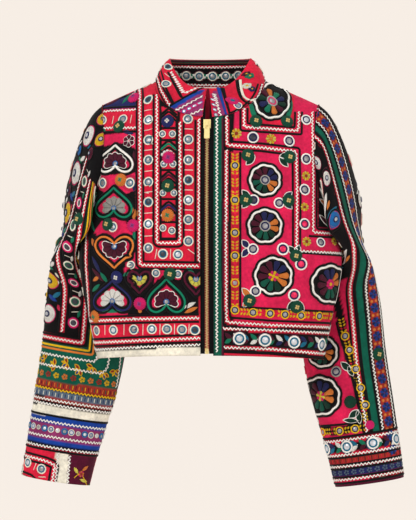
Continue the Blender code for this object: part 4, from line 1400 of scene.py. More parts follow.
class Sewing:
    # Draws with pixels of the photograph, or with metres on the flat cut
    def __init__(self, panel, ground, photo=True):
        self.work = Work(panel)
        self.photo = photo
        self.unit = picture["metresPerPixel"]
        self.ground = threads[ground]
        self.fields = []
        self.slide = ((0, 0.0), (520, 0.0))

    def at(self, x, y):
        return self.flat([(x, y)])[0]

    def flat(self, places):
        places = np.array(places, float)
        if not self.photo:
            return places * self.unit
        places[:, 0] += np.interp(places[:, 1], *zip(*self.slide))
        return self.work.panel.fromPhoto(places)

    def onCut(self, *places):
        # Places in metres on the cut, in this drawing's units
        return [(x * (1 / self.unit), y * (1 / self.unit)) for x, y in places]

    def level(self, half, high):
        return self.onCut((-half, high), (half, high))

    def around(self, x, y, shape):
        # A closed shape round a place, as it looks from the front
        up = -1 if self.photo else 1
        return evenly(self.flat(np.array([x, y]) + shape * [1, up]), stitch["step"], True)

    def line(self, places, closed=False, soft=False):
        places = np.asarray(places, float)
        if soft:
            places = rounded(places, closed)
        return evenly(self.flat(evenly(places, 2.5, closed)), stitch["step"], False)

    def field(self, places, colour):
        self.fields.append((self.line(places, closed=True), threads[colour]))

    def strip(self, places, wide, colour, soft=False):
        line = self.line(places, soft=soft)
        half = wide * self.unit / 2
        edges = np.vstack([offset(line, half, False), offset(line, -half, False)[::-1]])
        self.fields.append((edges, threads[colour]))

    def band(self, low, high, colour):
        # Colour right round a sleeve between two heights
        self.field([(-130, low), (130, low), (130, high), (-130, high)], colour)

    def round(self, kind, high, *values, **named):
        getattr(self, kind)([(-126, high), (126, high)], *values, **named)

    def cord(
        self, places, colour="black", wide=1.0, closed=False, soft=False, lift=stitch["cord"],
        kind="cord",
    ):
        line = self.line(places, closed, soft)
        self.work.path(kind, line, threads[colour], wide, closed, lift)

    def zig(self, places, colour="white", backing="red", wide=1.0, soft=False, closed=False):
        if backing:
            self.strip(places + [places[0]] if closed else places, 4.4 * wide, backing, soft)
        self.cord(places, colour, wide, closed, soft, stitch["zigzag"], "zigzag")

    def braided(self, places, soft=False, colour="white"):
        # Zigzag braid between two black cords
        line = self.line(places, soft=soft)
        self.strip(places, 7.0, "red", soft)
        for side in (-1, 1):
            beside = offset(line, side * 3.6 * self.unit, False)
            self.work.path("cord", beside, threads["black"], 0.85, False, stitch["cord"])
        self.work.path("zigzag", line, threads[colour], 1.0, False, stitch["zigzag"])

    def mirror(self, x, y, reach=4.6, glass="glass", ring="teal", rim="cream"):
        self.work.mirror(self.at(x, y), reach * self.unit, glass, ring, rim)

    def mirrors(self, places, reach=4.6, ring="teal", rim="cream"):
        tints = ("glass", "paleGlass", "glass", "darkGlass", "glass")
        for k, (x, y) in enumerate(places):
            self.mirror(x, y, reach, tints[(k * 3 + int(x)) % 5], ring, rim)

    def bar(self, x, y, long, turnDeg=0.0, colour="cream", wide=1.3):
        middle = self.at(x, y)
        way = np.array([math.cos(math.radians(turnDeg)), math.sin(math.radians(turnDeg))])
        half = way * long * self.unit / 2
        line = evenly(np.array([middle - half, middle + half]), stitch["step"])
        self.work.path("fine", line, threads[colour], wide, False, stitch["bar"])

    def outlined(self, outline, edge, wide=1.0, lift=stitch["outline"]):
        if edge:
            self.work.path("fine", outline, threads[edge], wide, True, lift)

    def patch(self, places, colour, height=0.0011, turn=0.0, edge=None):
        outline = evenly(self.flat(evenly(places, 2.0, True)), 0.0035, False)
        self.work.dome(outline, height, threads[colour], turn)
        self.outlined(outline, edge)

    def leaf(self, x0, y0, x1, y1, wide, colour, edge=None, height=0.0013):
        start, end = self.flat([(x0, y0), (x1, y1)])
        outline = leafLine(start, end, wide * self.unit)
        way = end - start
        self.work.dome(outline, height, threads[colour], math.atan2(way[1], way[0]))
        self.outlined(outline, edge)

    def petals(
        self, x, y, reach, count, colours, firstDeg=0.0, spreadDeg=360.0, inner=0.2, plump=1.0,
        height=0.0014, edge=None,
    ):
        middle = self.at(x, y)
        reach *= self.unit
        each = spreadDeg / count
        for k in range(count):
            turn = math.radians(firstDeg + each * (k + 0.5))
            long = reach * (1 - inner) / 2
            wide = min(long * 1.1, reach * 0.74 * math.tan(math.radians(min(each, 80) / 2)) * plump)
            way = np.array([math.cos(turn), math.sin(turn)])
            outline = petalLine(middle, way, reach * inner, reach, wide)
            self.work.dome(outline, height, threads[colours[k % len(colours)]], turn, 0.0003)
            self.outlined(outline, edge, 0.75, 0.0006)

    def disc(self, x, y, reach, colour, height=0.0012, base=0.0, count=16):
        reach *= self.unit
        outline = ellipse(*self.at(x, y), reach, reach, 0, count)
        self.work.dome(outline, height, threads[colour], 0.0, base)

    def wheel(self, x, y, reach, colour):
        # A wheel of wound thread: steps up to a small mirror, with a dark rim
        self.disc(x, y, reach, "hotPink" if reach > 6 else "navy", 0.0012, 0.0, 22)
        for k, share in enumerate((0.86, 0.62, 0.40)):
            self.disc(x, y, reach * share, colour, 0.0009, 0.0007 * (k + 1), 20)
        middle, r = self.at(x, y), reach * self.unit
        rim = ellipse(*middle, r + 0.001, r + 0.001, 0, 26)
        self.work.path("cord", rim, threads["black"], 0.8, True, 0.0006)
        for share, colour, base in ((0.30, "navy", 0.0034), (0.16, "paleGlass", 0.0040)):
            inner = r * share + 0.0006
            self.work.dome(ellipse(*middle, inner, inner), 0.0006, threads[colour], 0.0, base)

    def fan(self, x, y, reach, colour, up=1, edge=None, lobes=7):
        # A scalloped flower that opens from its foot, with a mirror at the foot
        turns = np.radians(np.linspace(-32, 212, 12 * lobes + 1))
        share = (turns - turns[0]) / (turns[-1] - turns[0])
        r = reach * (0.88 + 0.20 * np.abs(np.sin(share * math.pi * lobes)) ** 0.7)
        shape = np.column_stack([np.cos(turns) * r, np.sin(turns) * r * up])
        outline = self.around(x, y, np.vstack([shape, [[0, -0.18 * reach * up]]]))
        self.work.dome(outline, 0.0010, threads[colour], 0.6)
        self.outlined(outline, edge, 1.15, 0.0010)
        # painted shade: ribs along the creases between the lobes, in a darker copy of the flower's
        # own colour
        dim = tuple(0.42 * v for v in threads[colour])
        for k in range(1, lobes):
            turn = turns[12 * k]
            stops = (0.25 * reach, 0.84 * reach)
            rib = np.array([[math.cos(turn) * q, math.sin(turn) * q * up] for q in stops])
            ends = self.flat(np.array([x, y]) + rib * [1, -1 if self.photo else 1])
            self.work.path("fine", evenly(ends, stitch["step"]), dim, 0.75, False, 0.0009)
        self.mirror(x, y, 3.6, "glass", "blue", None)

    def inwards(self, shape):
        # One pixel's way inwards from a closed line, as offset takes it
        x, y = shape[:, 0], shape[:, 1]
        return (1 if np.sum(x * np.roll(y, -1) - y * np.roll(x, -1)) > 0 else -1) * self.unit

    def ringed(self, shape, inward, rows):
        for away, wide, lift in rows:
            line = offset(shape, away * inward)
            self.work.path("cord", line, threads["black"], wide, True, lift)

    def heart(self, x, y, wide, high, colour, flower, down=False, edge=None, fill="pink", lobes=7):
        turns = np.linspace(0, math.tau, 61)[:-1]
        up = -1 if down else 1
        hx = np.sign(np.sin(turns)) * np.abs(np.sin(turns)) ** 2.4
        waves = 13 * np.cos(turns) - 5 * np.cos(2 * turns)
        hy = (waves - 2 * np.cos(3 * turns) - np.cos(4 * turns)) / 16 + 0.12
        shape = self.around(x, y, np.column_stack([hx * wide / 2, hy * high / 2 * 1.03 * up]))
        inward = self.inwards(shape)
        self.fields.append((offset(shape, -3.4 * inward), threads["black"]))
        self.fields.append((offset(shape, 3.6 * inward), threads[fill]))
        self.work.path("cord", shape, threads[colour], 1.42, True, 0.0010)
        self.ringed(shape, inward, ((2.6, 1.0, 0.0005), (-2.6, 1.0, 0.0005)))
        foot = (0.16 if down else -0.16) * high * (1 if self.photo else -1)
        self.fan(x, y + foot, wide * 0.31, flower, -up, edge, lobes)

    def rosette(
        self, x, y, reach, colours, glass="glass", ring="navy", petals=10, centre=None, lobes=9,
        firstDeg=10,
    ):
        turns = np.linspace(0, math.tau, 91)[:-1]
        scallop = 0.84 + 0.075 * np.abs(np.sin(turns * lobes / 2 + math.radians(firstDeg))) ** 0.8
        circle = np.column_stack([np.cos(turns), np.sin(turns)])
        white = self.around(x, y, circle * (reach * scallop)[:, None])
        inward = self.inwards(white)
        self.fields.append((offset(white, -3.0 * inward), threads["black"]))
        self.ringed(white, inward, ((-2.3, 1.1, stitch["cord"]),))
        self.work.path("cord", white, threads["white"], 0.82, True, 0.0008)
        self.ringed(white, inward, ((1.9, 0.7, stitch["cord"]),))
        self.petals(x, y, reach * 0.78, petals, colours, firstDeg, 360, 0.30, 0.92, 0.0020)
        if centre:
            self.petals(x, y, reach * 0.27, 8, centre, 0, 360, 0.1, 1.0, 0.0022)
            self.disc(x, y, reach * 0.1, "yellow", 0.003)
        else:
            self.work.mirror(self.at(x, y), reach * 0.28 * self.unit, glass, ring, "grey")

    def sunflower(self, x, y, reach, colours=("lemon", "yellow"), middle="rust"):
        self.petals(x, y, reach, 9, list(colours), 0, 360, 0.3, 0.9, 0.0012)
        self.disc(x, y, reach * 0.38, middle, 0.0018)

    def stations(self, places, pitch):
        # Places a pitch apart along a line, and the way that it runs there
        line = self.line(places)
        lengths = pathLength(line)
        for stop in np.arange(pitch * self.unit / 2, lengths[-1], pitch * self.unit):
            spot, ahead = (
                np.array([np.interp(place, lengths, line[:, k]) for k in range(2)])
                for place in (stop, stop + 0.001)
            )
            way = ahead - spot
            yield spot, way / max(1e-9, np.linalg.norm(way))

    def stitchedLeaf(self, start, end, wide, colour, count):
        turn = math.atan2(*(end - start)[::-1])
        self.work.dome(leafLine(start, end, wide, count), stitch["leaf"], threads[colour], turn)

    def dashes(self, places, wide, colours=("yellow", "yellow", "yellow", "red"), pitch=3.1):
        # Crossed stitches along a strip
        half = wide * self.unit * 0.40
        for n, (spot, way) in enumerate(self.stations(places, pitch)):
            side = np.array([-way[1], way[0]])
            lean = way * pitch * self.unit * 0.33
            for s in (-1, 1):
                start, end = spot + side * s * half - lean, spot + side * s * half * 0.15 + lean
                self.stitchedLeaf(start, end, 0.0036, colours[n % len(colours)], 5)

    def rungs(self, places, wide, pitch, colours, thick=1.3):
        # Short bars across a strip
        for n, (spot, way) in enumerate(self.stations(places, pitch)):
            half = np.array([-way[1], way[0]]) * wide * self.unit / 2
            ends = evenly(np.array([spot - half, spot + half]), 0.0028)
            colour = threads[colours[n % len(colours)]]
            self.work.path("fine", ends, colour, thick, False, stitch["bar"])

    def wave(self, places, wide, colours, pitch=9.0):
        # Leaves leaning to and fro along a dark strip
        for n, (spot, way) in enumerate(self.stations(places, pitch)):
            side = np.array([-way[1], way[0]]) * wide * self.unit * 0.45
            reach = way * pitch * self.unit * 0.45
            for s, ahead in ((1, 0), (-1, 2)):
                start, end = spot - reach - side * s, spot + reach + side * s * 0.2
                colour = colours[(n + ahead) % len(colours)]
                self.stitchedLeaf(start, end, wide * self.unit * 0.34, colour, 6)


petalMix = [
    "navy", "navy", "maroon", "maroon", "maroon", "green", "green", "bottle", "orange", "orange",
]


def sewFrontRight():
    # The front at the viewer's left: a framed column by the zip, hearts beside and below it
    s = Sewing(frontRight, "red")
    s.field([(60, 122), (136, 122), (136, 268), (200, 268), (200, 316), (60, 318)], "black")
    s.field([(158, 90), (180, 90), (180, 243), (158, 243)], "black")
    s.field([(60, 90), (136, 70), (136, 110), (60, 116)], "navy")
    for some in (
        [(95, 136), (138, 131), (138, 150), (124, 143), (104, 146), (93, 158)],
        [(96, 176), (136, 173), (136, 190), (120, 196), (104, 193)],
        [(104, 218), (124, 218), (136, 238), (124, 240), (100, 238), (94, 232)],
        [(127, 256), (138, 250), (138, 274), (124, 272)],
        [(150, 270), (196, 269), (186, 282), (168, 272), (152, 284)],
        [(100, 310), (126, 305), (128, 316), (98, 318)],
    ):
        s.field(some, "pink")
    s.field([(160.5, 106), (177.5, 112), (177.5, 239), (160.5, 239)], "red")
    for line in (
        [(140, 84), (140, 265), (199, 266)], [(157, 94), (157, 243), (180, 243), (180, 122)],
    ):
        s.braided(line)
    s.zig([(199, 119), (199, 262)])
    s.cord([(203, 116), (203, 350)])
    s.cord([(195.5, 120), (195.5, 262)], wide=0.8)
    s.mirrors([(148.5, y) for y in (100, 120, 140, 160, 182, 202, 224, 248)])
    s.mirrors(
        [
            (163, 254), (178, 254.5), (188, 119), (188.5, 139.5), (188.5, 160), (188.5, 180),
            (188.5, 200), (188.5, 219.6), (188.5, 241),
        ]
    )
    for y in (110, 130, 150, 171, 192, 213, 236):
        s.bar(148.5, y, 9, 3)
    for y in (129, 150, 170, 190, 210, 230):
        s.bar(188.5, y, 9, -2)
    for x, y, turn in ((156, 254, 80), (170.5, 254, 88), (192, 252, -35)):
        s.bar(x, y, 10, turn)
    # the column inside the frame
    for y, colour in ((110, "black"), (142, "emerald"), (173, "maroon"), (203, "navy")):
        s.cord([(160.5, y + 5), (168.7, y - 2), (177, y + 5)], "black", 1.0, lift=0.0003)
        s.cord([(160.5, y + 8), (168.7, y + 1), (177, y + 8)], colour, 1.1)
        s.cord([(160.5, y + 11.5), (168.7, y + 4.5), (177, y + 11.5)], "black", 0.8, lift=0.0003)
    for y in (128, 140, 158.5, 170, 187, 199, 222, 238.5):
        s.cord([(160.5, y), (177.5, y)], wide=0.55, lift=0.0002)
    s.cord([(160.8, 110), (160.8, 239), (177.2, 239), (177.2, 116)], wide=0.8, lift=0.0003)
    for x, y, r in (
        (162.5, 134, 3.2), (172.5, 134, 3.2), (164, 164, 3.2), (173, 164, 3.2), (163, 193, 3),
        (174, 193, 3), (163, 228, 3.2), (172, 230.5, 3.4),
    ):
        s.disc(x, y, r + 1.4, "red", 0.0006)
        s.mirror(x, y, r)
    for y, colour in ((152, "white"), (213, "white"), (119, "maroon")):
        s.petals(167.5, y + 5, 7.5, 5, [colour], 10, 160, 0.1, 1.1)
    # hearts down the left and along the bottom
    s.heart(115.5, 159, 35, 29, "white", "maroon", down=True, edge="white")
    s.heart(114, 203, 36, 32, "emerald", "grey", down=True)
    s.heart(114.5, 252, 37.5, 34, "orange", "maroon", edge="white")
    s.heart(112.5, 296, 37, 32, "navy", "white", down=True)
    s.heart(139.5, 282, 23, 24, "maroon", "lemon", lobes=5)
    s.heart(166.5, 296, 37, 36, "emerald", "maroon", down=True, edge="white")
    s.heart(196, 283, 23, 25, "maroon", "lemon", lobes=5)
    for x, y in ((103, 183), (130, 183), (113, 227)):
        s.disc(x, y, 8.5, "pink", 0.0007)
        s.mirror(x, y, 4.8)
    for x, y in ((131, 265), (156, 273), (178, 274)):
        s.disc(x, y, 6, "pink", 0.0007)
        s.mirror(x, y, 3.8)
    s.petals(99, 139, 6.5, 6, ["white"], 0, 360, 0.15, 1.0)
    s.petals(129, 141, 6.5, 6, ["maroon"], 0, 360, 0.15, 1.0, edge="white")
    leaves = (
        (92, 134, 106, 131, "emerald"), (122, 131, 134, 134, "navy"), (92, 152, 96, 175, "emerald"),
        (134, 150, 134, 172, "maroon"), (92, 190, 98, 176, "orange"), (134, 178, 134, 192, "navy"),
        (91, 216, 95, 232, "emerald"), (134, 205, 134, 222, "orange"),
        (134, 228, 134, 244, "emerald"),
        (92, 238, 95, 248, "orange"), (92, 256, 101, 274, "navy"), (92, 268, 104, 282, "maroon"),
        (100, 272, 108, 283, "emerald"), (93, 281, 100, 276, "orange"),
        (92, 292, 100, 284, "emerald"),
        (123, 276, 130, 272, "emerald"), (100, 311, 124, 311, "emerald"),
        (128, 312, 134, 298, "maroon"),
        (146, 311, 152, 300, "navy"), (182, 309, 196, 302, "white"), (184, 313, 198, 307, "orange"),
        (186, 268, 196, 272, "emerald"), (149, 270, 154, 285, "maroon"),
        (138, 310, 142, 312, "orange"),
    )
    for x0, y0, x1, y1, colour in leaves:
        s.leaf(x0, y0, x1, y1, 4.2, colour)
    # bands along the hem
    s.field([(80, 315), (203, 315), (203, 353), (80, 362)], "red")
    s.field([(70, 351.5), (140, 347.5), (201, 344), (201, 372), (70, 378)], "cream")
    s.braided([(86, 321), (140, 319), (199, 318)])
    s.mirrors(
        [(97, 330.5), (113.6, 330), (134, 329.5), (152, 329), (167, 329), (182, 329.5), (195, 330)]
    )
    for x in (90, 105, 124, 143, 160, 174.5, 189):
        s.bar(x, 329.5, 11, 88)
    s.braided([(88, 343), (140, 340.5), (202, 338)])
    s.zig([(90, 350), (140, 347), (202, 344.5)], backing="black")
    # side strip and shoulder
    s.zig([(87, 214), (86, 262), (90, 322)])
    s.cord([(90.5, 213), (90, 262), (94, 318)], wide=0.8)
    s.cord([(83, 226), (82.5, 262), (86, 322)], wide=0.8)
    s.mirrors([(79, 255), (79, 274), (81, 292)], 4)
    s.field([(60, 112), (137, 108), (137, 129), (60, 134)], "red")
    s.zig([(84, 116), (110, 111), (136, 110)])
    s.zig([(80, 132), (108, 128), (136, 128)])
    s.cord([(84, 112), (110, 107.5), (136, 106.5)], wide=0.8)
    s.cord([(80, 136), (108, 132), (136, 131.5)], wide=0.8)
    s.mirrors([(88, 124), (103, 120.5), (123, 119.5)], 4.8)
    for x, y in ((96, 122), (113, 120), (131, 119)):
        s.bar(x, y, 9, 85)
    for x0, y0, x1, y1, colour in (
        (92, 106, 108, 96, "royal"), (104, 106, 122, 96, "maroon"), (110, 98, 126, 88, "black"),
        (122, 104, 135, 92, "emerald"), (132, 102, 136, 84, "white"),
    ):
        s.leaf(x0, y0, x1, y1, 5, colour)
    s.cord([(90, 108), (112, 97), (136, 86)], "pink", 0.9)
    s.cord([(92, 112), (114, 101), (137, 92)], wide=0.9)
    s.cord([(78, 124), (86, 142), (91.5, 161), (91, 182)], "yellow", 1.0, soft=True)
    s.cord([(75, 128), (83, 146), (88, 163), (88, 190)], wide=0.9, soft=True)
    # the yoke above the frame, under the collar
    s.field([(144, 80), (200, 80), (200, 116), (184, 116), (160, 94), (146, 94)], "red")
    s.mirrors([(147, 84)], 4.6)
    return s


def sewFrontLeft():
    # The front at the viewer's right: a green strip by the zip, a rosette field in a square frame
    s = Sewing(frontLeft, "pink")
    s.field([(208, 80), (234, 80), (234, 372), (208, 372)], "black")
    s.field([(214.5, 80), (222.4, 80), (222.4, 372), (214.5, 372)], "green")
    s.zig([(216.9, 118), (216.9, 352)], backing=None)
    s.cord([(222.8, 118), (222.8, 356)], "maroon", 0.6)
    s.zig([(226.5, 116), (227, 145), (260, 147.5), (296, 151.5), (297, 190), (296.5, 251)])
    s.cord(
        [(230.5, 116), (231, 141.5), (262, 143.5), (299.5, 148), (300.5, 200), (300, 247)],
        wide=0.9,
    )
    s.cord(
        [(224, 116), (224, 148.5), (262, 151), (292.5, 155), (293, 200), (293, 252), (350, 256)],
        wide=0.9,
    )
    s.zig([(296.5, 251), (350, 254)])
    s.zig([(226.5, 150), (226, 250), (226.5, 322), (270, 325), (350, 328)])
    s.cord([(223, 150), (222.6, 250), (223, 326), (270, 329), (350, 332)], wide=0.9)
    s.cord([(229.8, 153), (229.8, 250), (230, 317.5), (270, 320.5), (350, 324)], wide=0.9)
    # the red border with sunflowers and mirrors
    s.zig([(244, 100), (244, 127), (298, 131), (299, 112)], soft=False)
    s.cord([(240.5, 100), (240.5, 130.5), (301.5, 134.5), (302, 112)], wide=0.8)
    s.cord([(247.5, 108), (247.5, 123.5), (294.5, 127.5), (295, 112)], wide=0.8)
    s.field([(248, 80), (294, 80), (294, 127), (248, 123)], "red")
    s.leaf(250, 100, 256, 122, 6, "emerald")
    s.leaf(292, 100, 286, 124, 6, "emerald")
    s.rosette(272, 101, 19, ["navy", "emerald", "orange", "maroon", "bottle"], ring="hotPink")
    s.sunflower(236.5, 133.5, 5.2)
    s.sunflower(271, 139, 5.2, middle="orange")
    s.mirrors([(253, 137.5), (289, 141)], 5.2, "navy", "white")
    s.mirrors([(306, 120), (306, 159), (304.5, 189.6)], 5.2, "navy", "white")
    s.mirror(304.5, 224, 5.2, "pinkGlass", "navy", "white")
    s.sunflower(306, 176, 4.8)
    s.sunflower(304.5, 207, 4.8)
    s.sunflower(306.6, 241.6, 4.8)
    s.mirror(320.6, 242.4, 4.6, "glass", "navy", "white")
    s.sunflower(334, 241.5, 4.4)
    s.zig([(312, 112), (313, 180), (313, 232.5), (350, 235)])
    s.cord([(315.5, 112), (316.5, 180), (316.5, 229), (350, 231)], wide=0.85)
    s.cord([(308.8, 236), (350, 238.4)], wide=0.85)
    s.field([(318, 120), (350, 120), (350, 229), (318, 228)], "black")
    for k in range(6):
        s.leaf(
            319, 135 + 16 * k, 330, 147 + 16 * k, 6, ("emerald", "orange", "maroon")[k % 3],
            edge="white",
        )
    # the yellow strip
    s.field([(230.5, 152), (239.5, 152), (239.5, 307), (350, 313), (350, 322), (230.5, 316)], "red")
    s.dashes([(235, 153), (235, 312)], 9)
    s.dashes([(240, 311.5), (350, 317)], 9)
    for x, y in (
        (235, 165.5), (235, 200), (235, 232.7), (235, 255.7), (253, 312.5), (270, 313.5),
        (285, 314.5), (301, 315.5), (319, 316), (235, 310),
    ):
        s.mirror(x, y, 4.0, "glass", "navy", "yellow")
    s.mirror(235, 283, 4.0, "glass", "red", "yellow")
    s.cord([(240.3, 152), (240.3, 307), (350, 312.6)], wide=0.8)
    # the rosettes and what lies round them
    for x, y, r, turn in ((265, 180, 16.5, 0), (265, 226, 18, 40)):
        s.rosette(x, y, r, petalMix, firstDeg=turn)
    s.rosette(273.5, 276, 20, petalMix, centre=["hotPink", "yellow"], firstDeg=20)
    s.rosette(330, 284, 20, petalMix, centre=["hotPink", "hotPink"], firstDeg=60)
    corners = (
        (243, 153, 255, 156, 246, 165), (290, 155, 279, 157, 288, 167),
        (242, 190, 250, 199, 242, 208),
        (292, 192, 283, 200, 292, 209), (242, 240, 249, 248, 242, 257),
        (288, 246, 296, 255, 299, 245),
        (242, 288, 251, 298, 243, 307), (287, 310, 296, 300, 304, 311),
    )
    for k, (x0, y0, x1, y1, x2, y2) in enumerate(corners):
        colour = ("bottle", "bottle", "bottle", "navy", "navy", "bottle", "orange", "bottle")[k]
        s.leaf(x0, y0, x1, y1, 6.5, colour, edge="white")
        s.leaf(x2, y2, x1, y1, 6.5, colour, edge="white")
    s.mirrors([(253.5, 200), (279, 203), (253, 249), (255.5, 291)], 5.0, "navy", "white")
    for x, y in ((283, 249), (301, 264), (294, 295)):
        s.mirror(x, y, 5.6, "pinkGlass", "navy", "white")
    # bands along the hem
    s.field([(222, 325), (350, 330), (350, 372), (222, 372)], "black")
    s.zig([(223, 328.5), (270, 330), (350, 334)])
    s.field([(222, 332), (350, 337), (350, 352), (222, 346)], "black")
    s.wave([(224, 338.5), (350, 344)], 13, ["emerald", "navy", "maroon", "white", "teal"], 8.5)
    for x, y in ((239.5, 338.5), (265, 340), (294, 342), (321.5, 344.5)):
        s.disc(x, y, 8.2, "maroon", 0.0006)
        s.mirror(x, y, 5.8, "paleGlass", "teal", "white")
    s.zig([(224, 347.5), (270, 349), (350, 356)])
    s.cord([(224, 344), (270, 345.5), (350, 352.4)], wide=0.7)
    s.cord([(224, 351), (270, 352.5), (350, 359.6)], wide=0.9)
    s.cord([(224, 354), (270, 355.8), (350, 363)], "red", 0.8)
    return s


def frontWay(panel):
    # Which way across a sleeve's cut its front lies
    row = panel.points.shape[1] // 2
    return float(np.sign(panel.flat[panel.points[:, row, 1].argmin(), row, 0]))


def sewSleeveRight():
    # The sleeve at the viewer's left: wound thread wheels, a printed piece, bands and the cuff
    s = Sewing(sleeveRight, "black")
    s.slide = ((150, 8), (182, 10), (232, 12), (300, 15), (332, 15), (398, 12.6), (485, 12))
    s.photo = False
    s.band(100, 140, "green")
    s.band(93.5, 101, "rust")
    s.band(84, 91, "slate")
    s.band(65.5, 76, "cream")
    s.band(61.5, 65.5, "royal")
    s.band(46.5, 57, "purple")
    s.band(36.5, 43, "royal")
    s.band(-2, 32, "red")
    s.round("zig", 92.5, "yellow", None)
    front = frontWay(s.work.panel)
    sleeveCap(s, 262, 440, sorted((front * -6, front * 68)))
    sleeveFrame(s, front)
    s.rungs([(-120, 97.5), (120, 97.5)], 4, 3.2, ["green", "yellow", "maroon", "orange"], 0.9)
    s.rungs([(-120, 87.5), (120, 87.5)], 4, 3.4, ["navy", "cream"], 1.1)
    s.round("zig", 81.5, backing="rust")
    s.round("zig", 77, backing="black")
    s.round("cord", 66, wide=0.5)
    s.round("zig", 59.5, "white", "royal")
    s.round("zig", 44.5, "white", "purple")
    s.round("zig", 34, "white", "black")
    s.round("cord", 31, wide=0.7)
    for x in range(-118, 120, 7):
        s.mirror(
            x, 52, 3.0, ("glass", "paleGlass")[x % 2], ("blue", "cream", "teal")[x % 3],
            ("cream", None, "blue")[x % 3],
        )
    s.photo = True
    s.field([(0, 449), (52, 460), (38, 500), (0, 490)], "red")
    s.field([(44, 451), (58, 454), (54, 510), (40, 500)], "cream")
    s.field([(57, 453), (120, 461), (110, 510), (53, 510)], "maroon")
    s.braided([(11, 455), (34, 461), (43, 465), (37, 500)])
    s.cord([(10, 471), (20, 475), (24, 480), (22, 500)], wide=1.0)
    s.cord([(10, 475), (17, 479), (18, 500)], "cream", 0.8)
    s.mirrors([(16, 462.5), (29.5, 469), (28, 485), (8, 470)], 4.6)
    s.bar(23, 466, 9, 75)
    s.bar(30, 477, 8, 8)
    s.zig([(46, 453), (42, 502)], backing=None)
    s.zig([(57.5, 456), (54, 504)], backing=None)
    s.cord([(62, 478), (68, 472), (74, 482), (76, 494)], "yellow", 0.8, soft=True, kind="fine")
    for x, y, turn in (
        (66, 474, 120), (70, 471, 40), (75, 482, 160), (77, 492, 30), (73, 488, 200),
    ):
        a = math.radians(turn)
        s.leaf(
            x, y, x + 8 * math.cos(a), y - 8 * math.sin(a), 3.4,
            ("lemon", "orange", "leaf")[int(x) % 3], height=0.0008,
        )
    s.sunflower(69, 474, 3.4, ("orange", "hotPink"))
    sleeveBackRounds(s)
    return s


def sewSleeveLeft():
    # The sleeve at the viewer's right: a ribbon down its outer edge, a rosette field, bands
    s = Sewing(sleeveLeft, "pink")
    s.slide = ((142, 6), (182, 9), (232, 8), (300, 2), (332, 0), (398, 2), (485, 5.5))
    s.photo = False
    s.band(215, 400, "black")
    front = frontWay(s.work.panel)
    sleeveCap(s, 226, 440, sorted((front * -2, front * 52)))
    s.strip([(front * 24, 0), (front * 24, 440)], 42, "black")
    s.strip([(front * 17, 0), (front * 17, 440)], 11, "rust")
    for k in range(28):
        s.petals(front * 17, 30 + 14.5 * k, 5.2, 8, ["navy", "royal"], 0, 360, 0.1, 1.0, 0.0009)
        for side in (-1, 1):
            s.disc(front * 17 + side * 2.8, 37 + 14.5 * k, 1.6, "orange", 0.0006, 0.0, 8)
    s.strip([(front * 32, 0), (front * 32, 440)], 7.5, "green")
    for u in (9, 25):
        s.zig([(front * u, 52), (front * u, 440)], backing=None)
    for u in (5, 27.5, 36.5):
        s.cord([(front * u, 52), (front * u, 440)], wide=0.9)
    s.braided([(front * 41.5, 52), (front * 41.5, 440)])
    s.photo = True
    # the field in its corner frame
    inner = [(337, 292), (346, 325), (355, 365), (364, 402), (369, 432), (340, 437), (300, 440)]
    s.strip([(x - 4.5, y - (0 if y < 430 else 7)) for x, y in inner], 9, "black")
    s.dashes([(340, 318), (349, 350), (358, 388), (364, 425)], 8.5)
    s.dashes([(362, 427.5), (340, 430.5), (306, 433)], 8.5)
    s.cord(
        [(336, 322), (344.5, 352), (353, 388), (358.5, 421), (340, 424.5), (300, 427.5)], wide=0.9,
    )
    for x, y, ring in (
        (345, 336, "navy"), (349, 350, "navy"), (354.5, 369, "navy"), (359, 388, "navy"),
        (363, 405, "navy"), (352, 429, "navy"), (336.5, 431, "navy"), (320, 432, "red"),
    ):
        s.mirror(x, y, 4.0, "glass", ring, "yellow")
    s.disc(366.5, 425, 5, "hotPink", 0.002)
    s.rosette(319, 396, 20.5, petalMix, centre=["hotPink", "lemon"], firstDeg=30)
    s.rosette(322, 352, 16, petalMix, centre=["hotPink", "hotPink"], firstDeg=10)
    s.mirrors([(335, 371.5)], 5.0, "navy", "grey")
    s.mirror(303, 370, 4, "glass", "purple", "pink")
    for x0, y0, x1, y1, wide, colour in (
        (340, 362, 350, 371, 7, "bottle"), (352, 376, 347, 366, 6, "bottle"),
        (346, 418, 357, 410, 7, "bottle"), (357, 424, 355, 410, 6, "bottle"),
        (340, 420, 356, 421, 5, "bottle"), (306, 418, 316, 425, 6, "bottle"),
        (303, 378, 303, 392, 6, "navy"),
    ):
        s.leaf(x0, y0, x1, y1, wide, colour, edge="white")
    # bands at the wrist, right round the sleeve
    s.photo = False
    s.band(24, 51, "black")
    s.round("zig", 47, backing="red")
    s.wave([(-120, 40), (120, 40)], 13, ["emerald", "navy", "white", "maroon", "teal"], 8.5)
    for x in range(-118, 120, 27):
        s.disc(x, 40, 7.8, "navy", 0.0006)
        s.mirror(x, 40, 5.6, "paleGlass", "teal", "white")
    s.round("cord", 50.5, wide=0.9)
    s.round("zig", 32, backing="red")
    s.band(22.5, 29.5, "rust")
    s.rungs([(-120, 26), (120, 26)], 4, 3.4, ["red", "maroon"], 1.0)
    s.round("zig", 20.5, backing="red")
    s.band(9.5, 18, "navy")
    for x in range(-116, 120, 8):
        s.petals(x, 14, 2.9, 5, [("white", "slate")[x // 4 % 2]], 0, 360, 0.3, 1.0, 0.0008)
    s.round("zig", 7, backing="red")
    s.band(-2, 4, "maroon")
    for v in (29.5, 22.5, 18, 9.5, 3.6):
        s.round("cord", v, wide=0.75)
    s.photo = True
    sleeveBackRounds(s)
    return s


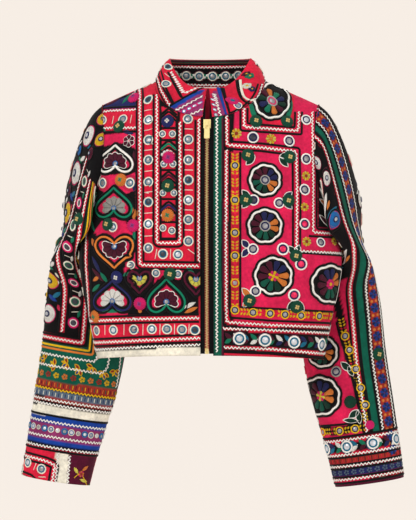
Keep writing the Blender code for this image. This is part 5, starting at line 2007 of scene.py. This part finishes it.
def sleeveFrame(s, front):
    # The front of the sleeve at the viewer's left: a column of thread wheels, then one of
    # mirrors, in an angled frame of braid, with printed green cloth round it
    def spread(*places):
        return [(front * u, v) for u, v in places]

    s.field(spread((60, 136), (130, 136), (130, 330), (60, 330)), "bottle")
    s.field(spread((-6, 142), (58, 142), (58, 450), (-6, 450)), "black")
    wheels = (
        (15, 168, 10.5, "white"), (6, 187, 4.8, "yellow"), (17, 205, 11, "yellow"),
        (8, 225, 5.6, "blue"), (16, 243, 11.5, "white"),
        (7, 262, 5.4, "white"), (17, 281, 12, "yellow"), (9, 302, 6, "maroon"),
        (17, 323, 13, "white"), (9, 345, 6, "blue"),
        (18, 364, 12, "white"), (38, 352, 6.5, "maroon"), (42, 371, 9, "yellow"),
        (22, 388, 9, "yellow"), (36, 396, 8, "white"), (16, 410, 9, "white"),
    )
    for u, v, r, colour in wheels:
        s.wheel(front * u, v, r, colour)
    for n, v in enumerate(range(187, 350, 38)):
        s.leaf(front * 19, v - 2, front * 29, v + 6, 5.0, ("teal", "white", "emerald")[n % 3])
        s.leaf(front * 26, v - 8, front * 30, v - 15, 4.4, ("pink", "cream", "pink")[n % 3])
        s.leaf(front * 13, v + 1, front * 25, v - 5, 4.6, ("royal", "emerald", "royal")[n % 3])
        s.leaf(front * 27, v + 14, front * 30, v + 22, 4.2, ("white", "teal", "white")[n % 3])
        s.leaf(front * 1, v + 6, front * 5, v + 16, 4.2, ("pink", "white", "emerald")[n % 3])
        s.leaf(front * 1, v - 14, front * 6, v - 6, 4.2, ("white", "teal", "pink")[n % 3])
    s.braided(spread((33, 152), (33, 345)))
    for n, v in enumerate(range(163, 330, 23)):
        s.disc(front * 44, v, 6.6, ("maroon", "pink", "maroon")[n % 3], 0.0007)
        s.mirror(
            front * 44, v, 5.0, "darkGlass", ("white", "emerald")[n % 2],
            ("hotPink", "cream")[n % 2],
        )
        s.bar(front * 44, v + 11.5, 9, 12 * (-1) ** n)
        s.bar(front * 40, v + 8, 5, 80)
        s.leaf(front * 48, v + 6, front * 50, v + 14, 3.4, ("emerald", "white")[n % 2])
    s.cord(spread((40, 156), (40, 345)), wide=0.8)
    s.braided(spread((-45, 144), (55, 144), (55, 330)))
    s.cord(spread((-45, 137), (63, 137), (63, 330)), "yellow", 1.3)
    s.cord(spread((-45, 133.5), (67, 133.5), (67, 330)), "orange", 0.9)
    for u in (71, 75, 79):
        s.cord(spread((u, 134), (u, 320)), ("leaf", "maroon", "leaf")[u % 3], 0.4, lift=0.0002)
    s.zig(spread((-45, 127), (70, 127), (72, 134), (84, 230)), backing=None)
    s.zig(spread((-45, 116), (78, 116), (84, 122), (94, 220)), backing=None)
    s.zig(spread((100, 104), (100, 220)), backing=None)
    for n, u in enumerate(range(-36, 98, 13)):
        v = 121 - 4 * (n % 2)
        for k, colour in enumerate(("rust", "yellow", "royal", "rust")):
            a = math.radians(50 * k + 20 * n)
            s.leaf(
                front * u, v, front * u + 7 * math.cos(a), v + 7 * math.sin(a), 3.4, colour,
                edge="yellow" if k != 1 else None, height=0.0006
            )
    for n, u in enumerate(range(-40, 98, 9)):
        s.petals(
            front * u, 107, 3.2, 5, [("orange", "rust", "yellow")[n % 3]], 0, 360, 0.2, 1.0, 0.0006,
        )
    for u, v in ((90, 150), (86, 175), (92, 196)):
        for k in range(4):
            s.leaf(
                front * u, v + 3 * k, front * (u + 8 * (-1) ** k), v + 5 + 3 * k, 3.4,
                ("royal", "yellow")[k % 2], edge="yellow", height=0.0006,
            )


def sleeveCap(s, low, high, gap):
    # Wheels, mirrors and leaves over a sleeve's top, on its own cut, clear of a ribbon's gap
    colours = ("maroon", "white", "emerald", "yellow", "pink", "navy", "white", "teal")
    turn = 0
    for row, v in enumerate(range(low, high, 21)):
        for u in range(-110 + 11 * (row % 2), 114, 22):
            turn += 3
            colour = colours[turn * 5 // 3 % 8]
            if gap[0] < u < gap[1]:
                continue
            if (turn + row) % 4 in (0, 1):
                s.wheel(u, v, 8.6, ("white", "yellow", "white", "blue")[turn // 3 % 4])
                s.leaf(u - 10, v + 7, u + 8, v + 10, 4.0, colour)
            elif (turn + row) % 4 == 2:
                s.disc(u, v, 8.0, "pink", 0.0007)
                s.mirror(u, v, 5.6, "glass", ("teal", "navy")[row % 2], "cream")
            else:
                s.leaf(
                    u - 8, v - 7, u + 6, v + 8, 8.4, colour,
                    edge="white" if colour in ("maroon", "emerald") else None
                )
                s.leaf(u + 2, v - 8, u + 9, v - 1, 4.4, "orange")


def sleeveBackRounds(s):
    # The sleeve's unseen side: the same bands and braids carried on round it
    s.photo = False
    k = 1 / s.unit
    behind = -frontWay(s.work.panel)
    for n, (low, high, colour) in enumerate(((0.15, 0.29, "maroon"), (0.29, 0.44, "green"))):
        a, b = behind * 0.045, behind * 0.19
        s.field(s.onCut((a, low), (b, low), (b, high), (a, high)), colour)
        s.braided(s.onCut((a, low), (b, low)))
        s.braided(s.onCut((a, high), (b, high)))
        middle = (low + high) / 2
        s.rosette(
            behind * 0.095 * k, middle * k, 20, petalMix, centre=["hotPink", "yellow"],
            firstDeg=30 * n,
        )
        for du in (-0.036, 0.036):
            for dv in (-0.05, 0.05):
                s.mirror(
                    behind * 0.095 * k + du * k, middle * k + dv * k, 4.4, "glass", "navy", "cream",
                )
    s.braided(s.onCut((behind * 0.05, 0.15), (behind * 0.05, 0.44)))
    s.photo = True


def sewCollar():
    # The stand collar's outer face
    s = Sewing(collarOuter, "red")
    s.field([(168, 109), (203, 90), (203, 116), (176, 117)], "purple")
    s.strip([(168, 109), (203, 90)], 6.0, "royal")
    s.field([(213, 91), (219, 90), (228, 116), (214, 118)], "purple")
    s.zig([(171, 72), (184, 94), (196, 88.5)], backing="red")
    s.cord([(168, 72), (182, 98), (196, 92)], wide=0.85)
    s.braided([(156, 72), (161, 90), (170, 106)])
    s.mirrors([(168, 67), (166, 84)], 4.6)
    s.bar(167.5, 75.5, 9, 20)
    s.cord([(161, 70), (166, 88), (174, 104)], wide=0.8)
    s.cord([(166, 108), (203, 87)], wide=0.5)
    s.zig([(170, 114), (203, 96)], "white", "purple")
    s.zig([(184, 118), (203, 109)], "white", "purple")
    for k in range(5):
        s.mirror(179 + 5.2 * k, 114 - 2.7 * k, 2.5, "paleGlass", "blue", "hotPink")
    s.zig([(214, 94), (221, 117)], "white", "purple")
    for k in range(4):
        s.mirror(213 + 1.0 * k, 100 + 5 * k, 2.3, "paleGlass", "teal", "pink")
    s.cord([(218.5, 88), (227.5, 119)], "royal", 1.8)
    s.cord([(222.5, 88), (231, 118)], wide=0.8)
    s.zig([(262, 84), (258, 98), (246, 110), (231, 117)], "white", "maroon", soft=True)
    s.cord([(258, 84), (254, 96), (243, 107), (229, 114)], wide=0.85, soft=True)
    s.cord([(240, 80), (241, 90), (244, 98), (251, 101), (255, 99)], "cream", 0.8, soft=True)
    s.cord([(237.5, 80), (238.5, 91), (242, 100.5), (250, 104)], wide=0.8, soft=True)
    for x, y, r, colour in (
        (247, 86, 4.6, "cream"), (250, 76, 4.4, "emerald"), (246.5, 74, 3.8, "maroon"),
        (252, 89, 3.8, "navy"),
    ):
        s.petals(x, y, r, 5, [colour], 20, 360, 0.1, 1.0)
        s.disc(x, y, r * 0.3, "yellow", 0.0022)
    s.disc(232.5, 101, 5.2, "hotPink", 0.0030)
    s.disc(232.5, 101, 1.8, "teal", 0.0012, 0.0026)
    s.mirror(238, 105.5, 3.6, "glass", "blue", "cream")
    s.photo = False
    k = 1 / s.unit
    s.braided(s.level(0.115, 0.009))
    s.zig(s.level(0.12, 0.041))
    s.cord(s.level(0.12, 0.036), wide=0.85)
    for n in range(-5, 6):
        s.mirror(n * 0.021 * k, 0.0235 * k, 4.8)
        s.bar((n + 0.5) * 0.021 * k, 0.0235 * k, 9, 90)
    s.photo = True
    return s


def sewCollarLining():
    # Inside the stand collar, seen through the neck at the back
    s = Sewing(collarInner, "red")
    s.photo = False
    k = 1 / s.unit
    s.field(s.level(0.11, 0.004) + s.level(0.11, 0.032)[::-1], "black")
    s.field(s.level(0.3, 0.0445) + s.level(0.3, 0.06)[::-1], "green")
    s.zig(s.level(0.3, 0.036))
    s.cord(s.level(0.3, 0.0415), wide=0.8)
    s.cord(s.level(0.3, 0.0485), "maroon", 0.7)
    s.cord(s.level(0.3, 0.0325), "black", 0.9)
    s.zig(s.level(0.3, 0.003))
    s.cord(s.level(0.3, 0.0075), wide=0.9)
    for n in range(-4, 5):
        s.disc(n * 0.024 * k, 0.0195 * k, 6.5, "maroon", 0.0006)
        s.mirror(n * 0.024 * k, 0.0195 * k, 4.6, "glass", "teal", "cream")
        for side, colour in ((-1, "white"), (1, "emerald")):
            x = (n + 0.5) * 0.024 * k
            s.leaf(x - 3 * side, 14, x + 3 * side, 8.5, 3.4, colour)
    s.photo = True
    return s


def sewBack():
    # The back, on its own cut: a square frame of mirrors round rosettes, hearts at the sides
    s = Sewing(backPanel, "red")
    s.photo = False
    k = 1 / s.unit

    s.field(s.onCut((-0.3, 0.075), (-0.118, 0.075), (-0.118, 0.6), (-0.3, 0.6)), "black")
    s.field(s.onCut((0.118, 0.075), (0.3, 0.075), (0.3, 0.6), (0.118, 0.6)), "black")
    s.field(s.onCut((-0.078, 0.115), (0.078, 0.115), (0.078, 0.405), (-0.078, 0.405)), "pink")
    s.field(s.onCut((-0.3, 0.0), (0.3, 0.0), (0.3, 0.028), (-0.3, 0.028)), "black")
    s.braided(s.onCut((-0.118, 0.6), (-0.118, 0.075), (0.118, 0.075), (0.118, 0.6)))
    s.braided(
        s.onCut((-0.078, 0.405), (-0.078, 0.115), (0.078, 0.115), (0.078, 0.405), (-0.078, 0.405))
    )
    s.mirrors([(x * 0.0215 * k, 0.095 * k) for x in range(-4, 5)])
    s.mirrors([(side * 0.098 * k, (0.118 + 0.0232 * n) * k) for side in (-1, 1) for n in range(15)])
    for n in range(15):
        for side in (-1, 1):
            s.bar(side * 0.098 * k, (0.130 + 0.0232 * n) * k, 9, 0)
    s.mirrors([(x * 0.0215 * k, 0.425 * k) for x in range(-3, 4)])
    for n, v in enumerate((0.165, 0.260, 0.352)):
        s.rosette(
            0, v * k, 21, petalMix, centre=(None, ["hotPink", "yellow"], None)[n], firstDeg=25 * n,
        )
        for side in (-1, 1):
            s.mirror(side * 0.052 * k, v * k, 4.6, "glass", "navy", "cream")
    for v in (0.212, 0.306):
        for side in (-1, 1):
            s.rosette(side * 0.046 * k, v * k, 13.5, petalMix[::-1], firstDeg=10)
    for side in (-1, 1):
        for n, (v, colour, flower) in enumerate(
            (
                (0.110, "navy", "white"), (0.185, "orange", "maroon"), (0.262, "emerald", "grey"),
                (0.335, "white", "maroon"),
            )
        ):
            s.heart(
                side * 0.158 * k, v * k, 36, 32, colour, flower, down=n % 2 == 0,
                edge="white" if flower == "maroon" else None
            )
        for v in (0.148, 0.224, 0.300, 0.372):
            s.disc(side * 0.136 * k, v * k, 6, "pink", 0.0007)
            s.mirror(side * 0.136 * k, v * k, 4.2)
            s.leaf(
                side * 0.168 * k, (v - 0.008) * k, side * 0.190 * k, (v + 0.008) * k, 5, "emerald",
            )
            s.leaf(
                side * 0.190 * k, (v - 0.010) * k, side * 0.172 * k, (v + 0.012) * k, 4, "orange",
            )
            s.leaf(side * 0.205 * k, (v - 0.02) * k, side * 0.212 * k, (v + 0.02) * k, 6, "maroon")
        s.braided(s.onCut((side * 0.198, 0.075), (side * 0.198, 0.26)))
    s.braided(s.level(0.3, 0.068))
    s.mirrors([(x * 0.0225 * k, 0.048 * k) for x in range(-10, 11)])
    for x in range(-10, 10):
        s.bar((x + 0.5) * 0.0225 * k, 0.048 * k, 10, 90)
    s.braided(s.level(0.3, 0.029))
    s.wave(s.level(0.24, 0.014), 10, ["emerald", "navy", "maroon", "white", "teal"], 8.5)
    s.zig(s.level(0.3, 0.0035))
    s.photo = True
    return s


def inside(places, outline):
    # Which places lie inside an outline
    x, y = places[:, 0], places[:, 1]
    found = np.zeros(len(places), bool)
    low, high = outline.min(axis=0), outline.max(axis=0)
    near = (x >= low[0]) & (x <= high[0]) & (y >= low[1]) & (y <= high[1])
    px, py = x[near], y[near]
    hits = np.zeros(len(px), bool)
    a = outline
    b = np.roll(outline, -1, axis=0)
    for (ax, ay), (bx, by) in zip(a, b):
        if ay == by:
            continue
        across = (ay > py) != (by > py)
        hits ^= across & (px < (bx - ax) * (py - ay) / (by - ay) + ax)
    found[near] = hits
    return found


# The cloth's wall, and the puffs between its rows of quilting
clothLook = {
    "wall": 0.0021, "liningWall": 0.0008, "rowPitch": 0.0062, "puff": 0.00035, "sink": 0.0002,
}


def quiltSwell(flat):
    # Low puffs between rows of hand quilting
    rows = np.abs(np.sin(flat[..., 1] * math.pi / clothLook["rowPitch"]))
    return clothLook["puff"] * np.sqrt(rows)


def clothPiece(sewing, step, thick):
    # The cloth itself: a fine wall, its face coloured where the patchwork's pieces lie
    panel = sewing.work.panel
    wide = np.linalg.norm(np.diff(panel.points, axis=0), axis=2).sum(axis=0).max()
    high = np.linalg.norm(np.diff(panel.points, axis=1), axis=2).sum(axis=1).max()
    columns = max(panel.last[0] + 1, int(wide / step))
    rows = max(panel.last[1] + 1, int(high / step))
    i, j = np.meshgrid(
        np.linspace(0, panel.last[0], columns), np.linspace(0, panel.last[1], rows), indexing="ij",
    )
    at = np.column_stack([i.ravel(), j.ravel()])
    points = panel.sample(panel.points, at)[0]
    normal = panel.sample(panel.normal, at)[0]
    normal /= np.linalg.norm(normal, axis=1)[:, None]
    flat = panel.sample(panel.flat, at)[0]
    border = np.minimum(np.minimum(i, panel.last[0] - i), np.minimum(j, panel.last[1] - j)).ravel()
    swell = quiltSwell(flat) * np.clip(border, 0, 1) - clothLook["sink"]
    points = points + normal * swell[:, None]
    tints = np.tile(sewing.ground, (len(points), 1))
    for outline, colour in sewing.fields:
        tints[inside(flat, outline)] = colour
    k = np.arange(columns * rows).reshape(columns, rows)
    faces = np.stack([k[:-1, :-1], k[1:, :-1], k[1:, 1:], k[:-1, 1:]], axis=-1).reshape(-1, 4)
    name = f"{panel.name}_cloth"
    thing = finishPiece(name, points, faces.tolist(), tints, quiltedCotton, flat)
    thing.data.materials.append(liningCotton)
    wall = thing.modifiers.new("wall", "SOLIDIFY")
    wall.thickness = thick
    wall.offset = -1.0
    wall.use_rim = True
    wall.material_offset = 1
    wall.material_offset_rim = 0
    area = areaOf(panel)
    print(f"{name}: {columns} by {rows}, {area:.3f} square metres")
    return thing, (wide, high), area


def areaOf(panel):
    p = panel.points
    one = np.cross(p[1:, :-1] - p[:-1, :-1], p[:-1, 1:] - p[:-1, :-1])
    two = np.cross(p[1:, 1:] - p[1:, :-1], p[1:, 1:] - p[:-1, 1:])
    return float(np.linalg.norm(one, axis=2).sum() + np.linalg.norm(two, axis=2).sum()) / 2


def dressPanel(sewing, step, slot, nodes):
    made = layWork(sewing.work)
    thick = clothLook["wall" if nodes else "liningWall"]
    cloth, flat, area = clothPiece(sewing, step, thick)
    if nodes:
        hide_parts(*nodes)
    square = flat[0] * flat[1]
    min(square, max(0.3 * square, area))
    return cloth


for label, sewing, step, slot, nodes in (
    ("front, wearer's right", sewFrontRight, 0.0026, "black_cotton", ["front_right"]),
    ("front, wearer's left", sewFrontLeft, 0.0026, "crimson_cotton", ["front_left"]),
    ("back", sewBack, 0.0040, "crimson_cotton", ["back"]),
    ("sleeve, wearer's right", sewSleeveRight, 0.0036, "green_cotton", ["sleeve_right"]),
    ("sleeve, wearer's left", sewSleeveLeft, 0.0036, "crimson_cotton", ["sleeve_left"]),
    ("collar", sewCollar, 0.0026, "crimson_cotton", ["collar"]),
    ("collar lining", sewCollarLining, 0.0026, "crimson_cotton", []),
):
    print(label)
    dressPanel(sewing(), step, slot, nodes)


buttonLook = {"threads": 18, "reach": 0.0112, "height": 0.0056, "bead": 0.30, "ridge": 0.05}
buttonColours = {
    "button_green": (linear(10, 78, 56), linear(222, 190, 120)),
    "button_pink": (linear(226, 26, 110), linear(150, 60, 130)),
    "button_orange": (linear(232, 128, 52), linear(70, 140, 100)),
    "button_navy": (linear(34, 40, 104), linear(226, 222, 214)),
}


def woundButton(middle, across, up, ahead, colour, bead):
    # One thread button: threads wound over a dome, with a small stitched bead on top
    count, rows = 2 * buttonLook["threads"], 9
    places, tints, faces = [], [], []
    turns = np.linspace(0, math.tau, count + 1)[:-1]
    ridge = 1 + buttonLook["ridge"] * np.cos(turns * buttonLook["threads"])
    for k in range(rows):
        lean = math.pi / 2 * k / rows
        r = buttonLook["reach"] * math.cos(lean) * (ridge if k < rows - 2 else 1)
        high = buttonLook["height"] * (math.sin(lean) * 0.96 + 0.04 * ridge)
        ring = np.outer(r * np.cos(turns), across) + np.outer(r * np.sin(turns), up)
        places.append(ring + np.outer(high, ahead) + middle)
        # painted light and shade: each wound thread lighter on its ridge and darker in the groove
        # beside it
        lit = (ridge - 1 + buttonLook["ridge"]) / (2 * buttonLook["ridge"])
        tints.append(np.outer(0.62 + 0.38 * lit, colour))
    for k in range(rows - 1):
        for m in range(count):
            n = (m + 1) % count
            faces.append((k * count + m, k * count + n, (k + 1) * count + n, (k + 1) * count + m))
    faces += [tuple(range(count))[::-1], tuple(range((rows - 1) * count, rows * count))]
    places, tints = np.concatenate(places), np.concatenate(tints)
    for k in range(5):
        turn = math.tau * k / 4
        away = (
            across * math.cos(turn) + up * math.sin(turn)
        ) * (0.0 if k == 4 else 0.22) * buttonLook["reach"]
        r = buttonLook["bead"] * buttonLook["reach"] * (0.62 if k < 4 else 0.5)
        ring = np.linspace(0, math.tau, 9)[:-1]
        foot = middle + away + ahead * buttonLook["height"] * 0.9
        first = len(places)
        rim = np.outer(r * np.cos(ring), across) + np.outer(r * np.sin(ring), up)
        places = np.vstack(
            [places, foot + rim, foot + rim * 0.7 + ahead * 0.0010, [foot + ahead * 0.0014]]
        )
        tints = np.vstack([tints, np.tile(bead, (17, 1)) * (0.4 if k == 4 else 1)])
        faces.append(tuple(range(first, first + 8))[::-1])
        for m in range(8):
            n = (m + 1) % 8
            faces += [
                (first + m, first + n, first + 8 + n, first + 8 + m),
                (first + 8 + m, first + 8 + n, first + 16),
            ]
    return places, faces, tints


def makeButtons():
    # The CAD's buttons again in wound thread, one piece for each colour on each panel
    groups = {}
    for name, thing in sorted(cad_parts.items()):
        if name.startswith("button_"):
            panel = name[len("button_"):].rsplit("_", 1)[0]
            places = np.array([v.co for v in thing.data.vertices])
            middle = places.mean(axis=0)
            axes = np.linalg.svd(places - middle, full_matrices=False)[2]
            ahead = axes[2] * np.sign(
                axes[2] @ (middle - np.array([middle[0] * 0.6, 0.0, middle[2]]))
            )
            foot = middle + ahead * ((places - middle) @ ahead).min()
            look = next(
                (k for k in buttonColours if k in thing.data.materials[0].name), "button_green",
            )
            look = photoColours.get(name, look)
            groups.setdefault((panel, look), []).append(
                (name, foot, axes[0], np.cross(ahead, axes[0]), ahead)
            )
            print(name, thing.data.materials[0].name, onPhoto(middle[None])[0].round(1).tolist())
    for (panel, look), rows in groups.items():
        spots = [row[1:] for row in rows]
        if (panel, look) == ("front_right", "button_orange"):
            place, ahead = frontRight.onCloth(frontRight.fromPhoto([hemButton]))
            across = np.cross((0, 0, 1), ahead)
            across /= np.linalg.norm(across)
            spots.append((place, across, np.cross(ahead, across), ahead))
        places, faces, tints = [], [], []
        for spot in spots:
            some = woundButton(*spot, *buttonColours[look])
            total = sum(len(p) for p in places)
            places.append(some[0])
            faces += [tuple(k + total for k in face) for face in some[1]]
            tints.append(some[2])
        places, tints = np.concatenate(places), np.concatenate(tints)
        thing = finishPiece(f"{look}_{panel}", places, faces, tints, satinPlain)
        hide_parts(*[row[0] for row in rows])


# Buttons that the photograph shows in other colours, and the pixel of one that the CAD leaves out
photoColours = {
    "button_front_right_10": "button_navy", "button_front_right_11": "button_pink",
    "button_front_right_12": "button_green",
}
hemButton = (95.5, 316.5)
satinPlain = fabric("button_thread", 0.0005, 0.4, 0.0002, rough=0.6)
zipTeeth = {
    "low": -0.461, "top": -0.080, "pitch": 0.0021, "apart": 0.0008, "back": 0.0029,
    "Width": 0.0046, "Depth": 0.0026, "Rise": 0.0012,
}


def makeZip():
    # Teeth up the front, and brass and tape looks for the rest of the zip
    tree, sockets, given, out = treeWith("teethOnPoints", (
        ("Width", "Float", 0.004), ("Depth", "Float", 0.003), ("Rise", "Float", 0.001),
        ("Material", "Material", None),
    ))
    asked = given.outputs
    size = node(
        tree, "ShaderNodeCombineXYZ", x=asked["Width"], y=asked["Depth"], z=asked["Rise"]
    )
    tooth = node(tree, "GeometryNodeMeshCube", size=size.outputs[0])
    placed = node(
        tree, "GeometryNodeInstanceOnPoints",
        points=asked["Geometry"], instance=tooth.outputs["Mesh"],
    )
    finishTree(tree, given, out, placed.outputs[0])
    stops = np.arange(zipTeeth["low"], zipTeeth["top"], zipTeeth["pitch"])
    rows = []
    for k, z in enumerate(stops):
        x, y, z = frontMiddle(z)
        rows.append((x + zipTeeth["apart"] * (1 if k % 2 else -1), y + zipTeeth["back"], z))
    mesh = bpy.data.meshes.new("stops")
    mesh.from_pydata(rows, [], [])
    values = {k: v for k, v in zipTeeth.items() if k in ("Width", "Depth", "Rise")}
    made = baked(
        bpy.data.objects.new("stops", mesh), tree, sockets, {**values, "Material": zipBrass},
    )
    places = meshPlaces(made)
    faces = [tuple(p.vertices) for p in made.polygons]
    tints = np.tile(linear(240, 212, 150), (len(places), 1))
    thing = finishPiece("zip_teeth", places, faces, tints, zipBrass)
    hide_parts("zip_chain")
    for name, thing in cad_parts.items():
        if name.startswith(("zip_", "pull")):
            for k in range(len(thing.data.materials)):
                thing.data.materials[k] = zipTapeCloth if "tape" in name else zipBrass


print("buttons")
makeButtons()
print("zip")
makeZip()


studio = {
    "paper": linear(60, 55, 52), "paperGlow": linear(252, 243, 234), "glow": 0.93,
    "paperRough": 0.95,
    "under": 0.35,  # from the part's lowest point down to the floor
    "near": -16.0, "wallAway": 12.0, "wallBend": 4.0, "wallHigh": 26.0, "halfWide": 24.0,
    "sky": (1.0, 0.97, 0.93, 1.0), "skyStrength": 0.42,
    # Each lamp's name, place, aim, size and power
    "lamps": (
        ("key", (-1.6, -3.2, 1.3), (0, 0, -0.3), 1.4, 60),
        ("fill", (2.4, -2.8, 0.3), (0, 0, -0.35), 2.0, 24),
        ("top", (0.2, -0.6, 2.4), (0, 0, -0.3), 1.6, 18),
        ("behind", (0.5, 2.6, 1.2), (0, 0, -0.3), 1.6, 14),
    ),
}


def buildStage():
    # Pale floor and backdrop, soft studio light and the camera
    scene = bpy.context.scene
    floor = bpy.data.meshes.new("floor")
    low = float(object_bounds()[0][2]) - studio["under"]
    away, bend, wide = studio["wallAway"], studio["wallBend"], studio["halfWide"]
    turns = np.linspace(0, math.pi / 2, 12)[1:]
    profile = [(studio["near"], low), (away, low)]
    profile += [(away + bend * math.sin(a), low + bend - bend * math.cos(a)) for a in turns]
    profile.append((away + bend, low + studio["wallHigh"]))
    verts = [(x, y, z) for x in (-wide, wide) for y, z in profile]
    n = len(profile)
    floor.from_pydata(verts, [], [(k, k + n, k + n + 1, k + 1) for k in range(n - 1)])
    look, _, shader = newMaterial("pale_paper", studio["paperRough"])
    setInputs(shader, {
        "Base Color": (*studio["paper"], 1.0), "Emission Color": (*studio["paperGlow"], 1.0),
        "Emission Strength": studio["glow"], "Specular IOR Level": 0.0,
    })
    floor.materials.append(look)
    floor.shade_smooth()
    stage = bpy.data.objects.new("floor", floor)
    scene.collection.objects.link(stage)
    stage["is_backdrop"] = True

    world = bpy.data.worlds.new("studio")
    world.use_nodes = True
    sky = {"Color": studio["sky"], "Strength": studio["skyStrength"]}
    setInputs(world.node_tree.nodes["Background"], sky)
    scene.world = world
    for name, place, aim, size, power in studio["lamps"]:
        data = bpy.data.lights.new(name, "AREA")
        data.energy = power
        data.size = size
        lamp = bpy.data.objects.new(name, data)
        lamp.location = place
        lamp.rotation_euler = (Vector(aim) - Vector(place)).to_track_quat("-Z", "Y").to_euler()
        scene.collection.objects.link(lamp)

    data = bpy.data.cameras.new("camera")
    data.sensor_width = picture["sensor"]
    data.sensor_height = picture["sensor"]
    data.sensor_fit = "AUTO"
    seenHigh = picture["height"] * picture["metresPerPixel"]
    data.lens = picture["sensor"] * picture["distance"] / seenHigh
    camera = bpy.data.objects.new("camera", data)
    turned = Matrix(np.stack([cameraRight, cameraUp, -cameraAhead], axis=1).tolist()).to_4x4()
    camera.matrix_world = Matrix.Translation(Vector(cameraPlace)) @ turned
    scene.collection.objects.link(camera)
    scene.camera = camera
    scene.view_settings.view_transform = "Standard"


print("stage")
buildStage()

boxes = {"cad": cadBox, "visual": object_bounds()}
{k: [[float(x) for x in corner] for corner in v] for k, v in boxes.items()}
